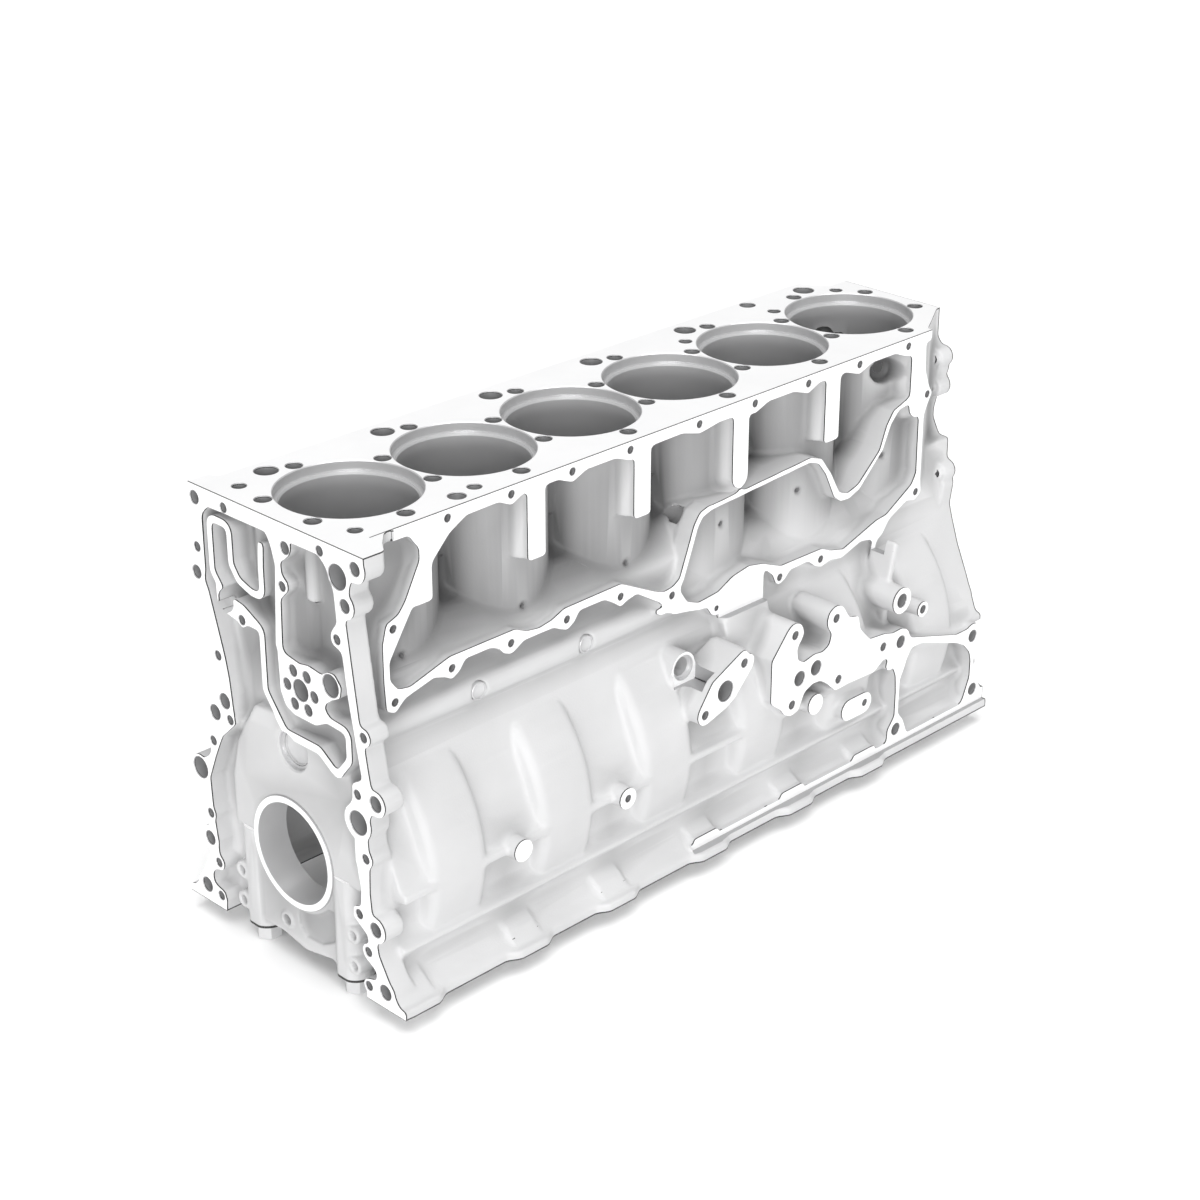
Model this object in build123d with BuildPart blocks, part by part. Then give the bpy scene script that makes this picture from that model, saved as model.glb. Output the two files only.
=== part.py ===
import os

from build123d import *

os.makedirs("parts", exist_ok=True)

# Frame: X runs from the front flange to the rear, Z is up from the crankshaft axis, +Y is the far side.

# Cylinder row and crankshaft line
cylinder_count = 6
bore_pitch = 168.0
first_bore_x = 110.0
deck_z = 413.3
rail_z = -128.5
rear_x = 1052.0
web_x = [first_bore_x + bore_pitch * (k - 0.5) for k in range(cylinder_count + 1)]
bay_x = [first_bore_x + bore_pitch * k for k in range(cylinder_count)]

# Wet-liner bores, from the deck down
liner_rim_r = 82.3
liner_flange_depth = 12.0
liner_ledge_r = 76.5
liner_land_depth = 28.5
jacket_r = 79.0
jacket_top_depth = 33.5
jacket_floor_z = 226.0
lower_land_r = 74.0
lower_land_top_z = 218.0
cylinder_bottom_z = 196.0
barrel_r = 94.0

# Head bolts, coolant and oil passages in the deck
head_bolt_r = 9.5
head_bolt_side_y = 94.0
head_bolt_web_y = 42.0
head_bolt_depth = 90.0
head_bolt_column_r = 21.0
head_bolt_column_z = 315.0

# Long side with the open coolant cavity
cover_face_y = -117.5
cover_rim_t = 19.0
near_wall_y = -99.0
far_wall_y = 108.0
far_barrel_r = 116.0
far_deck_y = 129.0
deck_slab = 14.0
cavity_depth = 77.0

# Crankcase
crank_barrel_r = 168.0
crank_barrel_half = 44.5
crank_barrel_edge = 15.0
throw_bottom_z = -92.0
throw_top_z = 150.0
case_wall = 10.0
bay_half = 70.0
side_face_y = -179.3
rail_edge_y = 186.0
foot_edge_y = 195.0
foot_height = 11.0
case_bottom_inner = 148.0
cap_space_half = 112.0

# Main bearings
main_bore_r = 61.9
main_ring_r = 70.3
main_width = 40.8
main_ring_lip = 3.4
saddle_r = 88.0
cap_bolt_y = 80.0
cap_column_r = 22.0
cap_seat_z = -130.0
cap_half = 78.0
bolt_r = 8.0
bolt_clearance = 0.5
bolt_flange_r = 19.0
bolt_flange_t = 4.0
bolt_hex_flats = 27.0
bolt_hex_h = 16.5
bolt_thread_z = 62.0

# Front end
flange_t = 29.0
recess_x = 27.0
front_wall_t = 11.0
bulkhead_face_x = 9.0
ring_face_x = bulkhead_face_x - main_ring_lip

# Small repeated sizes
tapped_m8 = 4.5
tapped_m10 = 5.5
core_plug_r = 11.0
core_plug_wall = 1.6
core_plug_dish = 2.5
plug_recess = 1.5
small_boss_depth = 24.0

# Far-side coolant gallery and other lengths
gallery_x0 = 60.0
gallery_x1 = 1000.0
gallery_y = 102.0
window_turn = 122.5
window_width = 64.0
window_top_z = 376.0
window_bottom_z = 256.0
rear_flange_t = 22.0
saddle_column_h = 108.0
rear_bolt_r = 6.5
rear_bolt_depth = 26.0
rail_hole_y = 168.0
rail_hole_pitch = 84.0
rail_hole_count = 13
rail_hole_depth = 18.0
passage_r = 13.5
passage_wall = 6.0
passage_depth = 50.0
passage_y = 104.0
passages = [(x - 31, passage_y) for x in bay_x[:5]] + [(981, passage_y)]
far_plug_r = 22.0
far_plug_wall = 2.0
far_plug_y = 119.0
far_plug_z = 300.0
far_plug_boss_r = 29.0
far_plug_t = 8.0

# Front face holes as (radius, depth, centres)
front_holes = [
    (7.5, 24, [(131, 397), (-140, 397), (-121, 349), (136, 306.5)]),
    (5.5, 20, [(79, 400), (-83.5, 400), (132, 338), (58.5, 273), (-17, 338), (107.5, 213), (93, 137),
               (128, 98), (143.5, -3), (134.5, -66), (134.5, -111), (-105.5, 305.5), (-142, 203),
               (-127.5, 129), (-137, 53), (-121.5, -23), (-134.5, -66), (-133, -111)]),
    (14, 24, [(-111, 379), (-127, 94)]),
    (13.5, 70, [(85, 288)]),
    (7, 24, [(16, 385), (-25, 385)]),
    (9, 24, [(101, 158), (120.5, 137), (161, -107), (-157.5, 129), (-161, -107)]),
    (13, 24, [(157, 52), (-91, 246)]),
    (8.5, 24, [(148, -38), (-148.5, -32)]),
    (12.5, 40, [(-39, 222)]),
    (6.5, 24, [(-16, 222), (-27.5, 241.9), (-50.5, 241.9), (-62, 222), (-50.5, 202.1),
               (-27.5, 202.1)]),
]
side_holes = [
    (5.5, 20, [(561, 107), (493, 61), (654, 112), (732, 109), (652, 17), (741, 21), (829, 36),
               (908, 63)]),
    (13, 55, [(528, 81)]),
    (9.5, 60, [(665, 49), (696, 53)]),
    (8, 24, [(865, 31), (864, -96), (1021, -14), (1028, -96)]),
    (9, 30, [(863, 90)]),
    (tapped_m8, 20, [(362, 0), (796, -32)]),
]

# Bearing cap seen from the front, as (Y, Z)
cap_profile = [
    (-cap_half, 0), (-cap_half, -126), (-70, -118), (-58, -116), (-10, -125), (30, -117),
    (60, -118), (cap_half, -126), (cap_half, 0),
]
cap_jet = (19.5, -96)
cap_crescent = [(0, -60), (-68, -50), (-68, -70), (-62, -92), (-40, -104), (-12, -106), (0, -96)]
front_cap_holes = [(99.8, -63.8), (99.8, -103.9), (-99.8, -63.8), (-99.8, -103.9)]


def face_from(points, mode=Mode.ADD):
    """Closed face through a short list of corner points."""
    with BuildLine() as corners:
        Polyline(*points, close=True)
    make_face(corners.edges(), mode=mode)


def drill(plane, centres, radius, depth):
    """Drill-shaped solids of one size, running square into a plane."""
    with BuildSketch(plane) as holes:
        with Locations(*centres):
            Circle(radius)
    extrude(holes.sketch, amount=-depth)


def boss(plane, centres, radius, height):
    """Round bosses whose faces lie in a plane and that reach back into the casting."""
    with BuildSketch(plane) as faces:
        with Locations(*centres):
            Circle(radius)
    extrude(faces.sketch, amount=-height)


# Planes whose normals point out of the casting
front_plane = Plane(origin=(0, 0, 0), x_dir=(0, -1, 0), z_dir=(-1, 0, 0))
section_plane = Plane.YZ
cover_plane = Plane.XZ.offset(-cover_face_y)
side_plane = Plane.XZ.offset(-side_face_y)
deck_plane = Plane.XY.offset(deck_z)


def at_front(points):
    """Front-view points, given as (Y, Z), in the front plane's own axes."""
    return [(-y, z) for y, z in points]


# Front flange: down the outside of the +Y leg, up its inside, across, and round the -Y leg
front_outline = [
    (124, deck_z), (131, 395), (141, 375), (138, 325), (136, 306), (114, 231), (112, 213),
    (114, 185), (124, 140), (129, 100), (136, 77), (150, 66), (158, 52), (146, 24), (148, -17),
    (150, -40), (150, -58), (180, -113), (192, -121), (192, rail_z), (128, rail_z),
    (124, -114), (128, -103), (148, -99), (152, -90), (142, -78), (128, -74), (124, -64),
    (133, -55), (134, -30), (138, 0), (140, 45), (125, 80), (110, 110), (84, 134), (90, 190),
    (95, 215), (117, 290), (124, 304), (120, 312), (120, 380), (108, 393), (-80, 395),
    (-92, 386), (-104, 360), (-107, 325), (-97, 312), (-100, 298), (-113, 293), (-120, 240),
    (-137, 150), (-120, 140), (-119, 120), (-109, 104), (-110, 88), (-122, 75), (-122, 40),
    (-127, 10), (-125, -12), (-112, -16), (-112, -30), (-134, -44), (-136, -54), (-125, -66),
    (-128, -75), (-148, -86), (-151, -97), (-130, -102), (-124, -110), (-129, -118),
    (-129, rail_z), (-186, rail_z), (-186, -122), (-152, -64), (-148, -40), (-143, -12),
    (-141, 10), (-142, 35), (-143, 60), (-140, 90), (-155, 125), (-148, 160), (-143, 190),
    (-136, 218), (-121, 330), (-126, 350), (-130, 373), (-140, 397), (-140, deck_z),
]
# Rounds of metal round the front flange's outer bolts, as (Y, Z, radius)
front_bosses = [
    (131, 397, 14), (132, 338, 10), (136, 306.5, 14.5), (107.5, 213, 10), (120.5, 137, 15),
    (128, 98, 10), (157, 52, 17), (143.5, -3, 9.5), (148, -38, 15.5), (134.5, -66, 10),
    (161, -107, 16), (-140, 397, 16), (-121, 349, 15), (-142, 203, 11), (-157.5, 129, 15.5),
    (-127, 94, 21), (-137, 53, 11), (-121.5, -23, 10), (-148.5, -32, 16), (-161, -107, 16),
    (-133, -111, 9), (-134.5, -66, 10), (-105.5, 305.5, 10),
]
# Back wall of the front recess
front_wall = [
    (124, 400), (122, 300), (98, 214), (108, 150), (124, 80), (122, 0), (-118, 0), (-116, 80),
    (-124, 140), (-112, 210), (-106, 300), (-112, 345), (-112, 400),
]

# Front coolant channel: centre lines of its wall, and the pads that the wall joins
channel_wall = 8.5
channel_turn = 10.0
arch_path = [(16, 388), (19, 350), (19, 313), (38, 313), (60, 320), (72, 336), (72, 381),
             (107, 381), (107, 317), (96, 304), (85, 290)]
channel_path = [(58, 276), (24, 276), (24, 200), (-8, 160), (-66, 160), (-96, 140), (-117, 165),
                (-117, 200), (-84, 202)]
pump_pad = [
    (-2, 275), (-4, 210), (-12, 194), (-26, 188), (-62, 188), (-82, 198), (-110, 200),
    (-104, 205), (-88, 206), (-79, 213), (-81, 221), (-92, 229), (-106, 236), (-109, 250),
    (-98, 262), (-87, 261), (-76, 254), (-54, 257), (-39, 254), (-15, 258),
]
divider = [
    (0, 262), (-4, 320), (-7, 360), (-1, 380), (5, 391), (-10, 390), (-22, 397), (-36, 388),
    (-31, 377), (-16, 366), (-17, 352), (-27, 344), (-27, 335), (-13, 322), (-11, 262),
]
big_port_pad = [(102, 300), (102, 283), (92, 272), (68, 270), (58, 263), (48, 270), (30, 270),
                (30, 280), (54, 292)]

# Crankcase wall between the barrels, as (distance from the bore line, height)
panel_profile = [
    (96, 240), (96, 200), (100, 164), (110, 130), (122, 95), (140, 55), (154, 20), (159, 7),
    (168, 5), (168, -5), (147, -9), (146, -50), (151, -60), (163, -66), (163, -70), (151, -82),
    (158, -98), (172, -110), (rail_edge_y, -118), (rail_edge_y, rail_z),
]
bay_profile = [
    (case_bottom_inner, rail_z), (case_bottom_inner, -112), (138, -92), (134, -60), (134, 10),
    (112, 84), (92, 150), (76, cylinder_bottom_z),
]
foot_starts = [8, 174, 317, 477, 637, 778]
foot_length = 43.0
foot_chamfer = 15.0
# Gusset over each foot, as (distance from the bore line, height)
foot_gusset = [(146, -88), (158, -94), (172, -103), (186, rail_z + foot_height), (146, rail_z + foot_height)]

# Cover rim on the near side: outer edge, then the two openings
cover_outline = [
    (92, deck_z), (92, 400), (107, 380), (107, 366), (85, 325), (75, 313), (58, 307), (52, 285),
    (52, 240), (54, 205), (66, 199), (80, 212), (122, 222), (138, 217), (148, 211), (159, 217),
    (168, 229), (206, 229), (218, 224), (226, 215), (237, 211), (248, 216), (256, 221),
    (303, 221), (312, 216), (324, 211), (335, 217), (344, 229), (384, 229), (398, 221),
    (411, 211), (422, 216), (438, 219), (520, 168), (545, 162), (560, 160), (568, 148),
    (577, 144), (587, 149), (594, 168), (604, 178), (636, 183), (664, 178), (680, 165),
    (685, 152), (693, 148), (703, 153), (712, 162), (746, 163), (760, 152), (772, 147),
    (790, 151), (812, 147), (850, 158), (868, 155), (880, 148), (893, 155), (906, 172),
    (940, 188), (958, 184), (970, 192), (967, 210), (967, 300), (974, 315), (982, 327),
    (974, 338), (966, 360), (963, deck_z),
]
upper_opening = [
    (60, 262), (120, 355), (150, 385), (175, 398), (222, 399), (241, 390), (260, 399),
    (312, 399), (334, 390), (356, 399), (402, 399), (426, 390), (450, 398), (512, 399),
    (541, 391), (575, 396), (612, 396), (638, 390), (662, 399), (708, 399), (735, 390),
    (756, 399), (805, 399), (832, 390), (856, 399), (902, 399), (925, 390), (942, 387),
    (953, 375), (955, 355), (948, 337), (930, 330), (905, 322), (892, 305), (880, 275),
    (840, 240), (820, 234), (802, 240), (785, 270), (765, 296), (745, 303), (562, 293),
    (545, 287), (533, 268), (515, 217), (500, 208), (485, 206), (470, 211), (412, 240),
    (320, 239), (300, 231), (280, 228), (260, 231), (243, 239), (146, 239), (88, 223),
    (70, 226), (60, 240),
]
lower_opening = [
    (560, 287), (744, 297), (760, 291), (775, 272), (793, 236), (806, 227), (822, 226),
    (842, 233), (886, 274), (900, 305), (915, 320), (932, 323), (950, 312), (957, 298),
    (958, 222), (950, 208), (900, 180), (880, 178), (815, 158), (790, 164), (772, 172),
    (694, 173), (660, 187), (635, 192), (605, 187), (580, 175), (545, 172), (524, 180),
    (512, 198), (514, 208), (541, 278), (548, 285),
]
cavity_taps = [(98.5, 248), (278, 248), (444, 248), (610, 248), (756, 248), (922, 248)]
side_plugs = [(194, 177), (362, 177)]
core_plug_depth = 9.0
front_plug = (-6, 133)
front_plug_mouth_r = 24.0
front_plug_r = 21.0
front_plug_x0 = 16.0
front_plug_t = 6.0
ridge_r = 20.0
ridge_length = 490.0
ridge_y = -92.0
ridge_z = 178.0
ridge_plane = Plane.XZ.offset(ridge_r - ridge_y)
far_plug_plane = Plane(origin=(0, far_plug_y, 0), x_dir=(-1, 0, 0), z_dir=(0, 1, 0))
far_plugs = [(-x, far_plug_z) for x in bay_x[::2]]
cover_holes = [
    (148, 402.5), (241, 402.5), (334, 402.5), (426, 402.5), (541, 402.5), (638, 402.5),
    (735, 402.5), (832, 402.5), (928, 402.5), (67, 299), (66, 212), (148.5, 224), (237, 224),
    (324, 224), (411, 224), (498, 197), (576, 158), (693, 158), (771, 158), (880, 158),
    (959, 195), (972, 327),
]

# Filter pad with its two-bolt neighbour, and the rear corner frame, all in one machined plane
filter_pad = [
    (612, 90), (640, 122), (652, 128), (665, 123), (670, 110), (658, 92), (660, 76), (672, 69),
    (692, 73), (708, 71), (720, 76), (724, 90), (716, 102), (718, 120), (732, 126), (746, 119),
    (757, 102), (775, 98), (780, 78), (800, 57), (830, 54), (848, 49), (866, 50), (886, 30),
    (900, 24), (888, 14), (868, -16), (866, -40), (860, -40), (858, -16), (850, 2), (844, 13),
    (832, 18), (812, 6), (760, 8), (735, 7), (718, 23), (705, 32), (690, 33), (675, 27),
    (664, 5), (650, 2), (638, 8), (630, 18), (612, 32),
]
pad_lobes = [(653, 112, 16), (732, 109, 17), (652, 17, 14), (865, 31, 18), (845, 5, 8)]
swell_x0 = 580.0
swell_x1 = 662.0
swell_profile = [(-92, 180), (-112, 180), (-124, 150), (-136, 110), (-138, 50), (-92, 50)]
pad_depth = 62.0
two_bolt_pad_depth = 55.0
rear_frame_depth = 40.0
two_bolt_pad = [(505, 100), (553, 122), (566, 124), (577, 114), (576, 98), (545, 66), (530, 58),
                (495, 48), (481, 57), (482, 69)]
rear_frame = [
    (846, rail_z), (847, -92), (860, -76), (860, -25), (856, 0), (866, 50), (886, 30),
    (985, 0), (1008, 0), (1021, 4), (1036, -8), (1038, -20), (1027, -48), (1028, -68),
    (1041, -88), (1043, -100), (1043, rail_z),
]
frame_window = [
    (884, 15), (910, 14), (985, -12), (1002, -21), (1016, -36), (1020, -50), (1020, -75),
    (1008, -104), (998, -116), (902, -118), (888, -111), (878, -87), (867, -74), (867, -25),
    (876, -8),
]

bore_profile = [
    (0, deck_z), (liner_rim_r, deck_z), (liner_rim_r, deck_z - 9), (liner_rim_r + 0.7, deck_z - 9),
    (liner_rim_r + 0.7, deck_z - liner_flange_depth),
    (liner_ledge_r + 1.5, deck_z - liner_flange_depth),
    (liner_ledge_r, deck_z - liner_flange_depth - 2.5), (liner_ledge_r, deck_z - liner_land_depth),
    (jacket_r, deck_z - jacket_top_depth), (jacket_r, jacket_floor_z),
    (lower_land_r, lower_land_top_z), (lower_land_r, cylinder_bottom_z - 60),
    (0, cylinder_bottom_z - 60),
]
rear_bosses = [(82, 352, 13.5), (79, 312, 15), (97, 196, 14), (97, 118, 15), (134, 27, 17),
               (150, -32, 17), (156, -105, 17)]
rear_outline = [
    (66, deck_z), (66, 378), (88, 352), (90, 335), (74, 294), (67, 266), (94, 214), (109, 180),
    (103, 135), (101, 88), (126, 43), (138, 5), (138, -9), (161, -40), (162, -82), (173, -110),
    (173, rail_z),
]
bulkhead_face = [
    (-118, 0), (-118, 60), (-113, 95), (-104, 146), (-60, 154), (-5, 160), (12, 172), (60, 165),
    (95, 110), (108, 60), (108, 0),
]

with BuildPart() as cavity:
    # Room behind the cover: two openings, with the cylinder barrels left standing inside
    with BuildSketch(cover_plane):
        face_from(upper_opening)
        face_from(lower_opening)
    extrude(amount=-cavity_depth)
    for x in bay_x:
        with BuildSketch(deck_plane):
            with Locations((x, 0)):
                Circle(barrel_r)
        extrude(amount=-300, mode=Mode.SUBTRACT)
        with BuildSketch(deck_plane):
            with Locations((x, -head_bolt_side_y)):
                Circle(head_bolt_column_r)
        extrude(amount=-(deck_z - head_bolt_column_z), mode=Mode.SUBTRACT)
        with Locations((x, -head_bolt_side_y, head_bolt_column_z)):
            Sphere(head_bolt_column_r, mode=Mode.SUBTRACT)
    # Sloping floors along the bottom of each opening
    with BuildSketch(section_plane):
        face_from([(-35, 292), (-72, 268), (-104, 236), (-104, 150), (-35, 150)])
    extrude(amount=505, mode=Mode.SUBTRACT)
    with BuildSketch(section_plane.offset(500)):
        face_from([(-35, 246), (-70, 214), (-100, 168), (-100, 140), (-35, 140)])
    extrude(amount=480, mode=Mode.SUBTRACT)

with BuildPart() as gallery:
    # Closed coolant gallery along the far side, outside the barrels
    with BuildSketch(section_plane.offset(gallery_x0)):
        face_from([(60, 250), (gallery_y, 250), (gallery_y, 376), (60, 376)])
    extrude(amount=gallery_x1 - gallery_x0)
    for x in bay_x:
        with BuildSketch(deck_plane):
            with Locations((x, 0)):
                Circle(barrel_r)
        extrude(amount=-300, mode=Mode.SUBTRACT)
        with BuildSketch(deck_plane):
            with Locations((x, head_bolt_side_y)):
                Circle(head_bolt_r + 8)
        extrude(amount=-(deck_z - head_bolt_column_z), mode=Mode.SUBTRACT)
        # Window from the bore into the gallery, handed the other way on the last cylinder
        turn = window_turn if x < bay_x[-1] else 180 - window_turn
        with BuildSketch(deck_plane.offset(window_top_z - deck_z)):
            with Locations(Location((x, 0), turn)):
                with Locations((jacket_r + 6, 0)):
                    Rectangle(28, window_width)
        extrude(amount=-(window_top_z - window_bottom_z))

with BuildPart() as throws:
    # Barrels of the crankcase that clear the crank throws, rounded along their edges
    for x in bay_x:
        with BuildSketch(section_plane.offset(x - crank_barrel_half)):
            Circle(crank_barrel_r)
            with Locations((0, throw_bottom_z - crank_barrel_r)):
                Rectangle(4 * crank_barrel_r, 2 * crank_barrel_r, mode=Mode.SUBTRACT)
            with Locations((0, throw_top_z + crank_barrel_r)):
                Rectangle(4 * crank_barrel_r, 2 * crank_barrel_r, mode=Mode.SUBTRACT)
        extrude(amount=2 * crank_barrel_half)
    fillet(throws.edges().filter_by(GeomType.CIRCLE), crank_barrel_edge)

with BuildPart() as hollows:
    # Crank bays
    for x in bay_x:
        with BuildSketch(section_plane.offset(x - bay_half)):
            face_from([(-y, z) for y, z in bay_profile] + [(y, z) for y, z in reversed(bay_profile)])
        extrude(amount=2 * bay_half)
        with BuildSketch(section_plane.offset(x - crank_barrel_half + case_wall)):
            Circle(crank_barrel_r - case_wall)
            with Locations((0, -92 - crank_barrel_r)):
                Rectangle(4 * crank_barrel_r, 2 * crank_barrel_r, mode=Mode.SUBTRACT)
            with Locations((0, 140 + crank_barrel_r)):
                Rectangle(4 * crank_barrel_r, 2 * crank_barrel_r, mode=Mode.SUBTRACT)
        extrude(amount=2 * (crank_barrel_half - case_wall))
    # Room for the bearing caps under each bulkhead, open to the sides as slots
    with BuildSketch(section_plane.offset(ring_face_x)):
        with Locations((0, rail_z / 2)):
            Rectangle(2 * cap_space_half, -rail_z)
    extrude(amount=rear_x - ring_face_x)
    # Liner bores, turned from the deck down into the crank bays
    for x in bay_x:
        with BuildSketch(Plane(origin=(x, 0, 0), x_dir=(1, 0, 0), z_dir=(0, -1, 0))):
            face_from(bore_profile)
        revolve(axis=Axis((x, 0, 0), (0, 0, 1)))
    # Main bearing line bore
    with BuildSketch(section_plane):
        Circle(main_bore_r)
    extrude(amount=rear_x)
    # Coolant spaces
    add(cavity.part)
    add(gallery.part)

with BuildPart() as saddles:
    # Saddles and bolt columns over the caps
    for x in web_x:
        start = max(x - main_width / 2, bulkhead_face_x)
        end = min(x + main_width / 2, rear_x)
        with BuildSketch(section_plane.offset(start)):
            with Locations((0, 0)):
                Circle(saddle_r)
            with Locations((0, -saddle_r)):
                Rectangle(4 * saddle_r, 2 * saddle_r, mode=Mode.SUBTRACT)
        extrude(amount=end - start)
        with BuildSketch(Plane.XY):
            with Locations((x, cap_bolt_y), (x, -cap_bolt_y)):
                Circle(cap_column_r)
            with Locations(((start + end) / 2, 0)):
                Rectangle(end - start, 4 * saddle_r, mode=Mode.INTERSECT)
        extrude(amount=saddle_column_h)
    # Lip round the front main bearing
    with BuildSketch(section_plane.offset(ring_face_x)):
        Circle(main_ring_r)
        with Locations((0, -saddle_r)):
            Rectangle(4 * saddle_r, 2 * saddle_r, mode=Mode.SUBTRACT)
    extrude(amount=2 * main_ring_lip)
    with BuildSketch(section_plane):
        Circle(main_bore_r)
    extrude(amount=rear_x, mode=Mode.SUBTRACT)

with BuildPart() as holes:
    # Cap bolt threads
    drill(Plane.XY.rotated((180, 0, 0)), [(x, y) for x in web_x for y in (-cap_bolt_y, cap_bolt_y)],
          bolt_r, bolt_thread_z)
    # Deck holes: head bolts, coolant passages and dowels
    drill(deck_plane, [(x, side * head_bolt_side_y) for x in bay_x for side in (-1, 1)], head_bolt_r,
          head_bolt_depth)
    drill(deck_plane, [(x, side * head_bolt_web_y) for x in web_x for side in (-1, 1)], head_bolt_r,
          head_bolt_depth)
    drill(deck_plane, passages, passage_r, passage_depth)
    drill(deck_plane, [(31, 90), (42, -92), (210, -92), (720, 74), (888, 74), (1012, 74)], 8, 50)
    drill(deck_plane, [(179, -98), (882, 115)], 10, 12)
    # Front face holes, by radius
    for radius, depth, centres in front_holes:
        drill(front_plane, at_front(centres), radius, depth)
    # Cover holes and side holes
    drill(cover_plane, cover_holes, tapped_m8, 17)
    drill(cover_plane, cavity_taps, tapped_m8, 44)
    drill(cover_plane, [(x + 35, 365) for x in bay_x[1:5]], 12, 50)
    drill(cover_plane, [(919, 365)], 17, 50)
    # Core plug seats
    drill(ridge_plane, side_plugs, core_plug_r, core_plug_depth)
    drill(front_plane, at_front([front_plug]), front_plug_mouth_r, front_plug_x0)
    drill(front_plane, at_front([front_plug]), front_plug_r, front_plug_x0 + front_plug_t)
    drill(far_plug_plane, far_plugs, far_plug_r, far_plug_y - gallery_y + 2)
    drill(side_plane.offset(-41), [(497, 109)], 12, 24)
    # Flywheel housing bolts and oil pan bolts
    drill(section_plane.offset(rear_x), [(side * y, z) for y, z, radius in rear_bosses for side in (-1, 1)],
          rear_bolt_r, rear_bolt_depth)
    rail_holes = [(foot_length / 2 + rail_hole_pitch * k, side * rail_hole_y)
                  for k in range(rail_hole_count) for side in (-1, 1)]
    drill(Plane.XY.offset(rail_z).rotated((180, 0, 0)), rail_holes, tapped_m8, rail_hole_depth)
    for radius, depth, centres in side_holes:
        drill(side_plane, centres, radius, depth)

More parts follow.
